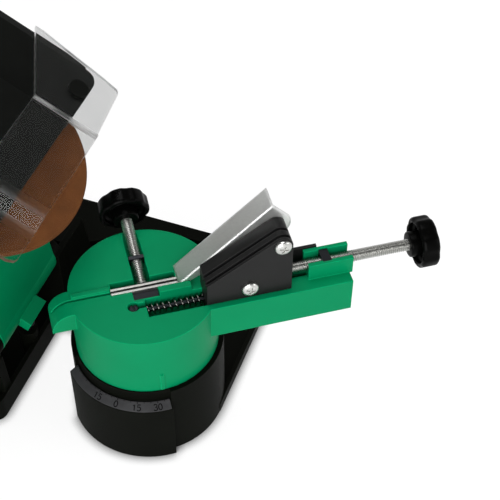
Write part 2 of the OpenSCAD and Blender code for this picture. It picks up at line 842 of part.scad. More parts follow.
module block_nuts() {
    nut_r = 4;
    color(steel) in_vise() {
        translate([pivot_u, 0, pivot_z]) difference() {
            translate([0, web_back + 3.3, 0]) rotate([90, 0, 0])
                cylinder(r = nut_r, h = 3.2, $fn = 6);
            bar_y(m4_r, web_back - past, web_back + 5);
        }
        translate([lower_u, 0, lower_z]) difference() {
            translate([0, block_back + 3, 0]) rotate([90, 0, 0])
                cylinder(r = nut_r, h = 3, $fn = 6);
            bar_y(m4_r, block_back - past, block_back + 4);
        }
    }
}

module stop_flap() {
    t = tan(flap_slope);
    end_z = fold_z - (fold_u - flap_u) * t;
    tail = [pivot_u + tail_r * cos(25), pivot_z + tail_r * sin(25)];
    low = [flap_u + 6, end_z + 6 * t - 4.5];
    drop = flap_t / cos(flap_slope);
    tip_low = rail_top + 0.5;
    color(steel) in_vise() difference() {
        union() {
            slab_y(web_front, web_back) polygon(concat(
                [[flap_u, end_z], low],
                arc(pivot_u, pivot_z, tail_r, 238, 385, 12),
                [[fold_u, fold_z]]));
            slab_y(web_front, web_front + flange_w) polygon([
                [flap_u, end_z], [fold_u, fold_z], [fold_u + 0.8, fold_z - drop],
                [flap_u + 0.8, end_z - drop + 0.8 * t]]);
            slab_y(web_front, web_back) polygon([tail, [fold_u, fold_z], [fold_u - 6, fold_z - 7]]);
            slab_y(web_front, web_front + 2.6) polygon([[flap_u, end_z], [flap_u + 1.6, end_z + 1],
                [flap_u + 1.4, tip_low], [flap_u + 0.2, tip_low]]);
        }
        translate([pivot_u, 0, pivot_z])
            bar_y(m4_r + run_gap, web_front - past, web_back + past);
    }
}

module adjusting_screw() {
    color(steel) in_vise() translate([0, adjust_v, adjust_z])
        bar_x(screw_r - run_gap, block_end + 0.1, adjust_knob_u + 5);
}

module adjusting_knob() {
    color(black) in_vise() translate([adjust_knob_u, adjust_v, adjust_z]) rotate([0, 90, 0])
        difference() {
            star_knob(knob_r, knob_t, knob_flutes, screw_r);
            translate([0, 0, -past]) cylinder(r = screw_r - run_gap, h = 5 + past);
        }
}

// Grinding head
spring_slot = 8.5;
tab_to = 65.5;

module yoke_plan() {
    polygon([[casing_r - 8, casing_low + 12], [hinge_a - 2, hinge_n - yoke_r + 0.2],
        [hinge_a + yoke_r * 0.95, hinge_n + 3], [casing_r - 3, casing_low + 58],
        [casing_r - 8, casing_low + 58]]);
    translate([hinge_a, hinge_n]) circle(r = yoke_r);
}

module motor_casing() {
    width = ear_inner - 0.5;
    color(green) in_head() difference() {
        union() {
            translate([0, 0, casing_low]) cylinder(r = casing_r, h = casing_len);
            slab_y(-width, width) yoke_plan();
            span([hinge_a + 4, -12, hinge_n - 2], [tab_to, 5, hinge_n + 4]);
            span([-casing_r - 12, -10, casing_top - 34], [-casing_r + 6, 10, casing_top - 6]);
        }
        translate([0, 0, casing_low - past])
            cylinder(r = casing_r - casing_t, h = casing_len - casing_t + past);
        translate([0, 0, casing_top - casing_t - past]) cylinder(r = spindle_r + 1, h = 5 * past);
        translate([hinge_a, 0, hinge_n]) bar_y(hinge_pin_r + 2, -width - past, width + past);
        translate([hinge_a, 0, hinge_n])
            bar_y(return_mean_r + return_wire / 2 + 0.4, -spring_slot, spring_slot);
        for (a = [45:90:315]) rotate(a) translate([casing_r - 8, 0, casing_top - casing_t - past])
            cylinder(r = 1.75, h = 5 * past);
        for (i = [0:4]) span([-casing_r - past, -9, casing_low + 6 + i * 5],
            [-casing_r + casing_t + past, 9, casing_low + 8.5 + i * 5]);
    }
    color(green) in_head() difference() {
        translate([0, 0, casing_top - casing_t - bearing_t])
            ring(bearing_r + 2.5, bearing_r, bearing_t + join);
    }
}

module hinge_bushes() {
    width = ear_inner - 0.5;
    color(copper) in_head() for (s = [-1, 1]) translate([hinge_a, 0, hinge_n]) difference() {
        bar_y(hinge_pin_r + 2, s > 0 ? spring_slot : -width, s > 0 ? width : -spring_slot);
        bar_y(hinge_pin_r + run_gap, -width - past, width + past);
    }
}

module casing_cover() {
    color(green) in_head() difference() {
        union() {
            translate([0, 0, casing_low - cover_t]) cylinder(r = casing_r, h = cover_t);
            translate([0, 0, casing_low - join]) ring(bearing_r + 2.5, bearing_r, bearing_t);
        }
        translate([0, 0, casing_low - cover_t + casing_t])
            ring(casing_r - casing_t, bearing_r + 2.5, cover_t);
        translate([0, 0, casing_low - cover_t + casing_t]) cylinder(r = bearing_r, h = 30);
        for (a = [0:30:330]) rotate(a) span([17, -1.2, casing_low - cover_t - past],
            [26, 1.2, casing_low - cover_t + casing_t + past]);
    }
}

module casing_screws() {
    color(steel) in_head() for (a = [45:90:315]) rotate(a)
        translate([casing_r - 8, 0, casing_top - casing_t - 3]) {
            cylinder(r = 1.75, h = casing_t + hood_t + 3);
            cylinder(r = 3, h = 3);
        }
}

module stator() {
    color([0.4, 0.4, 0.42]) in_head() translate([0, 0, stack_low]) difference() {
        cylinder(r = casing_r - casing_t, h = stack_len);
        translate([0, 0, -past]) cylinder(r = stator_bore, h = stack_len + 2 * past);
        for (s = [-1, 1]) span([-window_half, s > 0 ? window_in : -window_out, -past],
            [window_half, s > 0 ? window_out : -window_in, stack_len + past]);
    }
}

bearing_z = [casing_top - casing_t - bearing_t, casing_low - cover_t + casing_t];

module bearings() {
    color(steel) in_head() for (z = bearing_z) translate([0, 0, z])
        ring(bearing_r, spindle_r + run_gap, bearing_t);
}

commutator_r = 10;
commutator_z = casing_low + 4;
brush_z = commutator_z + 8;
brush_half = 2.5;

module brushes() {
    reach = casing_r - casing_t - 0.3;
    color(copper) in_head() translate([0, 0, brush_z]) for (s = [-1, 1])
        span([-brush_half, s > 0 ? commutator_r + 0.3 : -reach, -brush_half],
            [brush_half, s > 0 ? reach : -commutator_r - 0.3, brush_half]);
}

// Wheel hood and clear guard: one bent profile across the wheel, its corners set in
hood_corner = 8;
hood_cut = 9;
hood_taper = 3.3;
guard_bend = tan((atan2(crown_z - shoulder_z, slope_out - slope_in)) / 2);

function hood_profile(w, low, drop) =
    let (d = (guard_t + drop) * guard_bend, top = crown_z - drop, side = shoulder_z - drop, c = 5)
    [[-w, low], [-w, side - c / 3], [-w + c, side], [-slope_out + d, side], [-slope_in + d, top],
        [slope_in - d, top], [slope_out - d, side], [w - c, side], [w, side - c / 3], [w, low]];

module hood_plan(w, r, edge) {
    fall = hood_taper / (hood_edge - guard_from);
    tip = w - fall * (edge + past - guard_from);
    side = w - hood_taper;
    intersection() {
        union() {
            intersection() {
                union() {
                    circle(r = r);
                    translate([0, -w]) square([edge, 2 * w]);
                }
                translate([-r, -w]) square([r + edge - hood_corner, 2 * w]);
            }
            translate([0, hood_corner - side]) square([edge, 2 * (side - hood_corner)]);
            for (s = [-1, 1]) translate([edge - hood_corner, s * (side - hood_corner)])
                circle(r = hood_corner);
        }
        polygon([[-r - past, -w], [guard_from, -w], [edge + past, -tip], [edge + past, tip],
            [guard_from, w], [-r - past, w]]);
    }
}

module hood_solid(w, r, edge, low, drop) {
    intersection() {
        translate([0, 0, low]) linear_extrude(60) hood_plan(w, r, edge);
        translate([-r - past, 0, 0]) rotate([90, 0, 90]) linear_extrude(r + edge + 2 * past)
            polygon(hood_profile(w, low - past, drop));
    }
}

module wheel_hood() {
    ear_low = shoulder_z - hood_t;
    color(black) in_head() difference() {
        hood_solid(hood_w, hood_round, hood_edge, hood_back - hood_t, 0);
        hood_solid(hood_w - hood_t, hood_round - hood_t, hood_edge + 2 * hood_corner, hood_back, hood_t);
        slab_y(-hood_w - past, hood_w + past) polygon([
            [hood_edge + past, hood_back - hood_t - past], [hood_edge + past, hood_back - hood_t + hood_cut],
            [hood_edge - hood_cut, hood_back - hood_t - past]]);
        translate([0, 0, hood_back - hood_t - past]) cylinder(r = spindle_r + 1, h = 5 * past);
        for (a = [45:90:315]) rotate(a) translate([casing_r - 8, 0, hood_back - hood_t - past])
            cylinder(r = 1.75, h = 5 * past);
        for (y = guard_screw_y) translate([guard_screw_x, y, ear_low - past])
            cylinder(r = 1.5, h = 5 * past);
    }
}

guard_flare = 20;
guard_corner = 4;
guard_screw_x = 23.5;
guard_screw_y = [52.5, -42];

module hood_screws() {
    color(steel) in_head() for (a = [45:90:315]) rotate(a)
        translate([casing_r - 8, 0, hood_back]) cylinder(r = 3, h = 2.2);
}

module clear_guard() {
    top = crown_z + guard_t;
    side = shoulder_z + guard_t;
    d = guard_t * guard_bend;
    color([0.8, 0.85, 0.85, 0.35]) in_head() difference() {
        intersection() {
            translate([guard_from - guard_flare, 0, 0]) rotate([90, 0, 90])
                linear_extrude(guard_to + guard_flare) polygon([[guard_near, side],
                    [-slope_out, side], [-slope_in, top], [slope_in, top], [slope_out, side],
                    [guard_far, side], [guard_far, shoulder_z], [slope_out - d, shoulder_z],
                    [slope_in - d, crown_z], [d - slope_in, crown_z], [d - slope_out, shoulder_z],
                    [guard_near, shoulder_z]]);
            linear_extrude(top + past) polygon(concat(
                [[guard_from - guard_flare, guard_near], [guard_from, -slope_out],
                    [guard_from, slope_out], [guard_from - guard_flare, guard_far]],
                arc(guard_to - 3 - guard_corner, guard_far - 6 - guard_corner, guard_corner, 75, 0, 5),
                [[guard_to - 1.5, slope_out], [guard_to, slope_in], [guard_to, -slope_out]],
                arc(guard_to - guard_corner, guard_near + guard_corner, guard_corner, 0, -90, 5)));
        }
        for (y = guard_screw_y) translate([guard_screw_x, y, shoulder_z - past])
            cylinder(r = 5, h = 5 * past);
    }
}

module guard_screws() {
    color(black) in_head() for (y = guard_screw_y) translate([guard_screw_x, y, shoulder_z]) {
        cylinder(r = 5, h = guard_t + 0.3);
        translate([0, 0, -6]) cylinder(r = 1.5, h = 6 + join);
    }
}

// Handle: two halves that close on the casing's socket
handle_z = casing_top - 20;
handle_start = -casing_r - 12;
trigger_near = handle_start - 36;
trigger_len = 26;
handle_waist = 2;
handle_round = 9;
handle_collar = 8;
switch_w = 8;
gland_r = 5.5;

module handle_plan(inset) {
    half = handle_d / 2 - inset;
    x1 = handle_start + 11 - inset;
    x0 = handle_start - handle_len + inset;
    polygon(concat([[x1, handle_z - half - 2]],
        [[x1, handle_z + half + 2]],
        [[handle_start - 20, handle_z + half - handle_waist]],
        arc(x0 + half, handle_z, half, 90, 270, 14),
        [[handle_start - 20, handle_z - half + handle_waist]]));
}

// Rounded bar that the handle is cut from, with a square collar next to the casing
module handle_bar(inset) {
    r = handle_round - inset;
    y = handle_w / 2 - handle_round;
    z = handle_d / 2 - handle_round;
    translate([handle_start - handle_len - past, 0, handle_z]) rotate([90, 0, 90])
        linear_extrude(handle_len - handle_collar + past + join) {
            for (i = [-1, 1]) for (j = [-1, 1]) translate([i * y, j * z]) circle(r = r);
            square([2 * (y + r), 2 * z], center = true);
            square([2 * y, 2 * (z + r)], center = true);
        }
    span([handle_start - handle_collar, inset - handle_w / 2, handle_z - handle_d],
        [handle_start + 20, handle_w / 2 - inset, handle_z + handle_d]);
}

module handle_half(from, to, inner_from, inner_to) {
    color(black) in_head() difference() {
        intersection() {
            slab_y(from, to) handle_plan(0);
            handle_bar(0);
        }
        intersection() {
            slab_y(inner_from, inner_to) handle_plan(casing_t);
            handle_bar(casing_t);
        }
        span([handle_start - 1, -10.1, handle_z - 14.1],
            [handle_start + 20, 10.1, handle_z + 14.1]);
        translate([0, 0, casing_low]) cylinder(r = casing_r + 0.1, h = casing_len + past);
        span([trigger_near - trigger_len - slide_gap, -switch_w / 2 - slide_gap, handle_z],
            [trigger_near + slide_gap, switch_w / 2 + slide_gap, handle_z + handle_d]);
        translate([0, 0, handle_z]) bar_x(gland_r + 0.1, handle_start - handle_len - past,
            handle_start - handle_len + 2 * casing_t);
        for (x = handle_screw_x) translate([x, 0, handle_z])
            bar_y(1.75, -handle_w, handle_w);
    }
}

handle_screw_x = [handle_start - 4, handle_start - 27, handle_start - handle_len + 12];

module handle_front() {
    handle_half(-handle_w / 2, 0, -handle_w / 2 + casing_t, past);
}

module handle_rear() {
    handle_half(0, handle_w / 2, -past, handle_w / 2 - casing_t);
}

module handle_screws() {
    color(steel) in_head() for (x = handle_screw_x) translate([x, 0, handle_z]) {
        bar_y(1.75, -handle_w / 2, handle_w / 2);
        bar_y(3.2, -handle_w / 2 - 1.6, -handle_w / 2);
    }
}

module switch_body() {
    low = handle_z - handle_d / 2 + casing_t + handle_waist + 0.2;
    color([0.2, 0.2, 0.2]) in_head()
        span([trigger_near - trigger_len + 2, -9, low], [trigger_near - 2, 9, handle_z - 3.2]);
}

module switch_trigger() {
    half = handle_d / 2;
    color([0.08, 0.08, 0.08]) in_head() slab_y(-switch_w / 2, switch_w / 2) polygon([
        [trigger_near - trigger_len, handle_z + 0.3], [trigger_near, handle_z + 0.3],
        [trigger_near, handle_z + half + 2], [trigger_near - trigger_len / 2, handle_z + half + 6],
        [trigger_near - trigger_len, handle_z + half + 2]]);
}

module cable_gland() {
    gland_x = handle_start - handle_len;
    color([0.08, 0.08, 0.08]) in_head() translate([gland_x, 0, handle_z]) difference() {
        union() {
            bar_x(gland_r, -10, casing_t + 1);
            bar_x(gland_r + 1.5, -2.5, 0);
        }
        bar_x(gland_r - 2.3, -10 - past, casing_t + 1 + past);
    }
}

// Spindle and all that turns with it
module spindle() {
    color(steel) in_head() translate([0, 0, bearing_z[1] + 0.5])
        cylinder(r = spindle_r, h = 13 - bearing_z[1]);
}

module armature() {
    color([0.45, 0.42, 0.4]) in_head() translate([0, 0, stack_low + stack_step]) difference() {
        cylinder(r = armature_r, h = armature_len);
        translate([0, 0, -past]) cylinder(r = spindle_r, h = armature_len + 2 * past);
        for (a = [0:30:330]) rotate(a) span([armature_slot, -1.2, -past],
            [armature_r + past, 1.2, armature_len + past]);
    }
}

module commutator() {
    color(copper) in_head() translate([0, 0, commutator_z])
        ring(commutator_r, spindle_r, 12);
}

module cooling_fan() {
    color([0.15, 0.15, 0.15]) in_head() translate([0, 0, casing_top - fan_room + fan_gap])
        difference() {
            union() {
                cylinder(r = fan_r, h = fan_t);
                cylinder(r = fan_hub_r, h = fan_hub_h);
                for (a = [0:45:315]) rotate(a) span([fan_hub_r - past, -0.8, 0], [fan_r, 0.8, fan_blade_h]);
            }
            translate([0, 0, -past]) cylinder(r = spindle_r, h = fan_hub_h + 2 * past);
        }
}

module inner_flange() {
    color(steel) in_head() translate([0, 0, -wheel_t / 2]) difference() {
        union() {
            translate([0, 0, -4]) cylinder(r = flange_r, h = 4);
            cylinder(r = wheel_bore_r - 0.05, h = wheel_t - 0.2);
        }
        translate([0, 0, -4 - past]) cylinder(r = spindle_r, h = 12);
    }
}

module grinding_wheel() {
    bevel = 0.6;
    half = wheel_t / 2;
    color([0.6, 0.35, 0.18]) in_head() rotate_extrude($fn = 128)
        polygon([[wheel_bore_r, -half], [wheel_r - bevel, -half], [wheel_r, bevel - half],
            [wheel_r, half - bevel], [wheel_r - bevel, half], [wheel_bore_r, half]]);
}

module outer_flange() {
    color(steel) in_head() translate([0, 0, wheel_t / 2]) difference() {
        cylinder(r1 = flange_r, r2 = flange_r - 2, h = 3);
        translate([0, 0, -past]) cylinder(r = spindle_r, h = 8);
    }
}

module arbor_nut() {
    color(steel) in_head() translate([0, 0, wheel_t / 2 + 3]) difference() {
        cylinder(r = 7.5, h = 6.5, $fn = 6);
        translate([0, 0, -past]) cylinder(r = spindle_r, h = 10);
    }
}

echo(least_gap_stop_spring = wound_gap(
    wound(spring_r - spring_wire / 2, spring_turns, stop_pitch, spring_wire), spring_wire));
echo(least_gap_return_spring = wound_gap(
    wound(return_mean_r, return_turns, return_pitch, return_wire), return_wire));

base_housing();
scale_plate();
hinge_pin();
hinge_clips();
return_spring();
depth_cap();
depth_bolt();
vise_body();
vise_stud();
lock_washer();
lock_knob();
rail_front();
rail_screws();
rail_support();
rail_rear();
clamp_nut();
clamp_screw();
clamp_knob();
guide_nut();
guide_post();
spring_rod();
stop_spring();
stop_block();
block_screw();
pivot_screw();
block_nuts();
stop_flap();
adjusting_screw();
adjusting_knob();
motor_casing();
casing_cover();
casing_screws();
hinge_bushes();
stator();
bearings();
brushes();
wheel_hood();
hood_screws();
clear_guard();
guard_screws();
handle_front();
handle_rear();
handle_screws();
switch_body();
switch_trigger();
cable_gland();
spindle();
armature();
commutator();
cooling_fan();
inner_flange();
grinding_wheel();
outer_flange();
arbor_nut();
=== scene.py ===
"""Looks of a bench grinder for saw chains: finishes, threads, knobs, springs, guard and scale."""

import json
import math

import bmesh
import bpy
import numpy as np
from bpy.props import FloatProperty, FloatVectorProperty, IntProperty, PointerProperty
from mathutils import Matrix, Vector

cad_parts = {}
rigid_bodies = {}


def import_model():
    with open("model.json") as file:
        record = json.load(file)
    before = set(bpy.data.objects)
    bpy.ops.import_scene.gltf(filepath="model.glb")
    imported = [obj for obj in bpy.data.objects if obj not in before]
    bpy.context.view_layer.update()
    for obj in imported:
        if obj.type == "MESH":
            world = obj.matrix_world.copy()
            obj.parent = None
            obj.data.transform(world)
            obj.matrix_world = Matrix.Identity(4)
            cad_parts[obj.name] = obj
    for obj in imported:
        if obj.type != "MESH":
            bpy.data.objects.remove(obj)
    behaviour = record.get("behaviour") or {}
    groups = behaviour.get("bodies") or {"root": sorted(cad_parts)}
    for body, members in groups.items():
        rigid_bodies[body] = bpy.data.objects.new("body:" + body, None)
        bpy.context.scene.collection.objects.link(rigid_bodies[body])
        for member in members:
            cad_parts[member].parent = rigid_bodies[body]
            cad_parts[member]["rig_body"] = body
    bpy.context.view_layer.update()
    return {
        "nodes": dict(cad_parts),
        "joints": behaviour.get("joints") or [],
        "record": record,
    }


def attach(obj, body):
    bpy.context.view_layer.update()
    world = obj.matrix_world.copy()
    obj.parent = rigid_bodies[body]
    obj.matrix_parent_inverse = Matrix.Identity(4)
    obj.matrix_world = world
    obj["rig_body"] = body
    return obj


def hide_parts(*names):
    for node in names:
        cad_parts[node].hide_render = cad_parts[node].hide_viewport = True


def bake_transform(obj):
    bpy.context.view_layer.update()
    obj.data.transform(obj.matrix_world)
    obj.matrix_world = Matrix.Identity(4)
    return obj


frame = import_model()

bl_info = {
    "name": "Chain grinder looks",
    "version": (1, 0, 0),
    "blender": (4, 5, 0),
    "location": "3D View > Sidebar > Grinder",
    "description": "Finishes and fine detail of a bench grinder for saw chains",
    "category": "Object",
}

MM = 0.001
WELD = 1e-7
UP = np.array([0.0, 0.0, 1.0])


# Places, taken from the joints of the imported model


class Place:
    """A right-handed set of axes at a point: local millimetres go to metres in the row frame."""

    def __init__(self, origin, x_axis, z_axis):
        self.origin = np.asarray(origin, float)
        z = np.asarray(z_axis, float)
        x = np.asarray(x_axis, float)
        z = z / np.linalg.norm(z)
        x = x - z * (x @ z)
        x = x / np.linalg.norm(x)
        self.axes = np.stack([x, np.cross(z, x), z])

    def out(self, points):
        """Local millimetres to metres in the row frame."""
        return self.origin + np.asarray(points, float) * MM @ self.axes

    def into(self, points):
        """Metres in the row frame to local millimetres."""
        return (np.asarray(points, float) - self.origin) @ self.axes.T / MM


def joint(name):
    """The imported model's joint of that name."""
    return next(j for j in frame["joints"] if j["name"] == name)


def node_points(name):
    """Corners of a solid of the frame, in metres."""
    mesh = frame["nodes"][name].data
    points = np.zeros(len(mesh.vertices) * 3, np.float32)
    mesh.vertices.foreach_get("co", points)
    return points.reshape(-1, 3).astype(float)


def extent(name, place):
    """Lowest and highest corner of a solid, and its largest radius about the local Z axis."""
    local = place.into(node_points(name))
    return local.min(0), local.max(0), np.hypot(local[:, 0], local[:, 1]).max()


ALONG = np.array(joint("stop_slide")["axis"], float)
VISE = Place((0, 0, 0), ALONG, UP)
CLAMP = Place(joint("clamp_turn")["pos_m"], ALONG, joint("jaw_slide")["axis"])
ADJUST = Place(joint("adjust_turn")["pos_m"], UP, ALONG)
HEAD = Place(joint("wheel_spin")["pos_m"], (1, 0, 0), joint("wheel_spin")["axis"])
HINGE = Place(joint("head_tilt")["pos_m"], UP, (0, 1, 0))
BASE = Place((0, 0, 0), (1, 0, 0), UP)
UNDER = Place((0, 0, 0), (1, 0, 0), -UP)


# Sizes and colours that a user would change


def length(name, about, default):
    """A length of up to 100 mm."""
    return FloatProperty(
        name=name, description=about, default=default, min=0.0, max=0.1, unit="LENGTH"
    )


def colour(name, about, default):
    """A linear colour."""
    return FloatVectorProperty(
        name=name, description=about, default=default, size=3, min=0, max=1, subtype="COLOR"
    )


class GrinderSizes(bpy.types.PropertyGroup):
    """Sizes of the pieces that the looks add"""

    thread_pitch: length("Thread pitch", "Advance of the M6 threads in one turn", 0.001)
    thread_depth: length("Thread depth", "Depth of the M6 threads", 0.00062)
    knob_round: length("Knob rounding", "Rounding of the hand knobs' edges", 0.0022)
    flute_depth: length("Flute depth", "Depth of the flutes round a knob", 0.0006)
    knob_flutes: IntProperty(
        name="Flutes", description="Number of flutes round a hand knob", default=7, min=4, max=12
    )
    stop_wire: length("Stop spring wire", "Wire of the stop spring", 0.00095)
    stop_curls: IntProperty(
        name="Stop spring curls", description="Curls of the stop spring", default=10, min=6,
        max=16
    )
    return_wire: length("Return spring wire", "Wire of the return spring", 0.0016)
    return_curls: IntProperty(
        name="Return spring curls", description="Curls of the return spring", default=5, min=3,
        max=9
    )
    bend_radius: length("Guard bend", "Inside radius of the bends in the clear guard", 0.002)
    tick_pitch: FloatProperty(
        name="Tick pitch", description="Angle between the marks of the scale",
        default=math.radians(5), unit="ROTATION",
    )
    numeral: length("Numeral height", "Height of the numbers on the scale", 0.0032)
    edge_round: length("Edge rounding", "Rounding that the moulded edges show", 0.0006)


class GrinderColours(bpy.types.PropertyGroup):
    """Colours of the finishes"""

    green: colour("Green", "Green moulding", (0.0005, 0.224, 0.087))
    base: colour("Base", "Black base moulding", (0.0031, 0.0036, 0.0025))
    knob: colour("Knobs", "Polished black", (0.0011, 0.0011, 0.0010))
    block: colour("Block", "Black stop block", (0.0110, 0.0110, 0.0110))
    hood: colour("Hood", "Black wheel hood", (0.0040, 0.0045, 0.0038))
    handle: colour("Handle", "Black handle", (0.0045, 0.0045, 0.0045))
    rubber: colour("Rubber", "Soft black", (0.010, 0.010, 0.010))
    # Darker than the bright zinc: painted shade on the threaded screws.
    thread: colour("Threads", "Zinc in the threads", (0.50, 0.50, 0.48))
    zinc: colour("Zinc", "Bright zinc plate", (0.66, 0.66, 0.64))
    wire: colour("Wire", "Drawn wire", (0.20, 0.19, 0.18))
    # Brighter than the rail steel: painted light where the flap faces up to the sky.
    flap: colour("Flap", "Bent steel sheet", (0.82, 0.83, 0.81))
    rail: colour("Rail", "Plain bright sheet", (0.64, 0.64, 0.61))
    dark_steel: colour("Dark steel", "Darkened steel", (0.030, 0.032, 0.036))
    bronze: colour("Bronze", "Sintered bronze and copper", (0.52, 0.27, 0.11))
    carbon: colour("Carbon", "Pressed carbon", (0.02, 0.02, 0.02))
    scale: colour("Scale", "Grey printed scale", (0.034, 0.034, 0.036))
    print_black: colour("Print", "Numbers and marks", (0.0022, 0.0022, 0.0022))
    grit: colour("Grit", "Grinding wheel", (0.108, 0.040, 0.0135))
    clear: colour("Clear", "Smoky clear sheet", (0.848, 0.851, 0.849))
    # The whiteness of the guard's bends and cut edges is a painted highlight.
    bend: colour("Bend", "Whitened bends of the sheet", (0.93, 0.93, 0.93))


def sizes():
    """The sizes kept in the scene."""
    return bpy.context.scene.grinder_sizes


def colours():
    """The colours kept in the scene."""
    return bpy.context.scene.grinder_colours


# Meshes


def quads(rows, columns, wrap_rows, wrap_columns):
    """Faces of a grid of points, row after row, as one array."""
    i = np.arange(rows if wrap_rows else rows - 1)
    j = np.arange(columns if wrap_columns else columns - 1)
    i, j = np.meshgrid(i, j, indexing="ij")
    a = i * columns + j
    b = (i + 1) % rows * columns + j
    c = (i + 1) % rows * columns + (j + 1) % columns
    d = i * columns + (j + 1) % columns
    return np.stack([a, b, c, d], -1).reshape(-1, 4)


def mesh_of(name, points, faces):
    """A mesh from an array of points and arrays of faces, each array with one corner count."""
    mesh = bpy.data.meshes.new(name)
    points = np.asarray(points, float).reshape(-1, 3)
    groups = [np.asarray(f, np.int64) for f in (faces if isinstance(faces, list) else [faces])]
    corners = np.concatenate([f.reshape(-1) for f in groups])
    totals = np.concatenate([np.full(len(f), f.shape[1]) for f in groups])
    starts = np.concatenate([[0], np.cumsum(totals)[:-1]])
    mesh.vertices.add(len(points))
    mesh.vertices.foreach_set("co", points.reshape(-1).astype(np.float32))
    mesh.loops.add(len(corners))
    mesh.loops.foreach_set("vertex_index", corners.astype(np.int32))
    mesh.polygons.add(len(totals))
    mesh.polygons.foreach_set("loop_start", starts.astype(np.int32))
    mesh.polygons.foreach_set("loop_total", totals.astype(np.int32))
    mesh.update(calc_edges=True)
    return mesh


def outward(mesh, sharp_degrees):
    """Merges doubles, points the faces outwards and keeps edges sharper than the angle."""
    bm = bmesh.new()
    bm.from_mesh(mesh)
    bmesh.ops.remove_doubles(bm, verts=bm.verts, dist=WELD)
    bmesh.ops.dissolve_degenerate(bm, edges=bm.edges, dist=WELD)
    bmesh.ops.recalc_face_normals(bm, faces=bm.faces)
    for face in bm.faces:
        face.smooth = True
    bm.to_mesh(mesh)
    bm.free()
    mesh.set_sharp_from_angle(angle=math.radians(sharp_degrees))
    mesh.update()


def piece(name, points, faces, body, slot, replaces=(), sharp_degrees=40, own=None):
    """A finished piece: its place is in its mesh, it rides on a body and has its finish."""
    mesh = mesh_of(name, points, faces)
    outward(mesh, sharp_degrees)
    made = bpy.data.objects.new(name, mesh)
    bpy.context.scene.collection.objects.link(made)
    mesh.materials.append(finish(own or slot))
    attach(made, body)
    if replaces:
        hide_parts(*replaces)
    return made


def fan(ring, centre):
    """Triangles from a ring of point numbers to one point."""
    ring = np.asarray(ring)
    return np.stack([ring, np.roll(ring, -1), np.full(len(ring), centre)], -1)


def quarter(radius, corner, start, steps=5):
    """Points of a quarter circle about a corner point, from start degrees to start + 90."""
    a = np.radians(start + np.linspace(0, 90, steps))
    return np.stack([corner[0] + radius * np.cos(a), corner[1] + radius * np.sin(a)], -1)


def threaded(length_mm, radius, pitch, depth, plain_to=0.0, tip=0.6, drawn=0.5, steps=32,
             per_turn=10):
    """Screw shank along Z. Rows of points run along the thread, so that height is (row / rows per
    turn + angle / full turn) times the pitch, held between the two ends. The radius is the outer
    radius less the thread's depth times a rounded wave of row / rows per turn, faded to plain below
    plain_to and drawn in over the tip at both ends. The wave is stretched and cut off, so that
    crests and roots are flat."""
    rows = int(length_mm / pitch + 2) * per_turn
    row = np.arange(rows)[:, None]
    angle = np.linspace(0, 2 * math.pi, steps + 1)[None, :]
    raw = (row / per_turn - 1 + angle / (2 * math.pi)) * pitch
    z = np.clip(raw, 0, length_mm)
    groove = 0.5 - 0.5 * np.cos(2 * math.pi * row / per_turn)
    groove = np.clip(1.3 * groove - 0.1, 0, 1) * ((raw > 0) & (raw < length_mm))
    fade = np.clip((z - plain_to) / pitch + 1, 0, 1)
    ends = np.clip(np.minimum(z, length_mm - z) / tip, 0, 1)
    reach = radius - depth * groove * fade - drawn * (1 - ends)
    points = np.stack([reach * np.cos(angle), reach * np.sin(angle), z], -1)
    count = rows * (steps + 1)
    points = np.vstack([points.reshape(-1, 3), [[0, 0, 0], [0, 0, length_mm]]])
    low = fan(np.arange(steps + 1), count)[:-1]
    high = fan(np.arange(count - steps - 1, count), count + 1)[:-1]
    return points, [quads(rows, steps + 1, False, False), low, high]


def tube(path, radius, sides=12):
    """Round tube along a path: each ring stands square to the path, turned by the local frame made
    from the tangent and the Z axis. The ends are closed by fans."""
    path = np.asarray(path, float)
    tangent = np.gradient(path, axis=0)
    tangent /= np.linalg.norm(tangent, axis=1)[:, None]
    side = np.cross(tangent, UP)
    side /= np.linalg.norm(side, axis=1)[:, None]
    other = np.cross(side, tangent)
    angle = np.linspace(0, 2 * math.pi, sides, endpoint=False)
    turn = angle[None, :, None]
    ring = np.cos(turn) * side[:, None] + np.sin(turn) * other[:, None]
    points = (path[:, None] + radius * ring).reshape(-1, 3)
    count = len(points)
    points = np.vstack([points, path[:1], path[-1:]])
    low = fan(np.arange(sides), count)
    high = fan(np.arange(count - sides, count), count + 1)
    return points, [quads(len(path), sides, False, True), low, high]


def coil(mean_radius, curls, height, per_curl=28):
    """Helix along Z: the angle grows evenly, and the height with it except over the closed end
    curls, where it eases in and out."""
    t = np.linspace(0, 1, int(curls * per_curl) + 1)
    angle = 2 * math.pi * curls * t
    ease = 0.35 / curls
    rise = t + ease * (np.sin(2 * math.pi * t) * -0.5)
    return np.stack([mean_radius * np.cos(angle), mean_radius * np.sin(angle), height * rise], -1)


# Finishes


def group_of(name, inputs, outputs, build):
    """A shader node group with named sockets, built once."""
    if name in bpy.data.node_groups:
        return bpy.data.node_groups[name]
    group = bpy.data.node_groups.new(name, "ShaderNodeTree")
    for label, kind, default in inputs:
        socket = group.interface.new_socket(name=label, in_out="INPUT", socket_type=kind)
        socket.default_value = default
    for label, kind in outputs:
        group.interface.new_socket(name=label, in_out="OUTPUT", socket_type=kind)
    source = group.nodes.new("NodeGroupInput")
    sink = group.nodes.new("NodeGroupOutput")
    build(group, source.outputs, sink.inputs)
    return group


def node(tree, kind, settings=(), **values):
    """A node with its settings. Each further value goes to the input of that name, or of that
    number where the key is i and a number: a socket is linked, and anything else is set."""
    made = tree.nodes.new(kind)
    for key, value in dict(settings).items():
        setattr(made, key, value)
    for key, value in values.items():
        numbered = key[0] == "i" and key[1:].isdigit()
        socket = made.inputs[int(key[1:]) if numbered else key.replace("_", " ")]
        if isinstance(value, bpy.types.NodeSocket):
            tree.links.new(value, socket)
        else:
            socket.default_value = value
    return made


def maths(tree, operation, a, b=0.5, clamp=False):
    """Result of one operation on two values."""
    settings = {"operation": operation, "use_clamp": clamp}
    return node(tree, "ShaderNodeMath", settings, i0=a, i1=b).outputs[0]


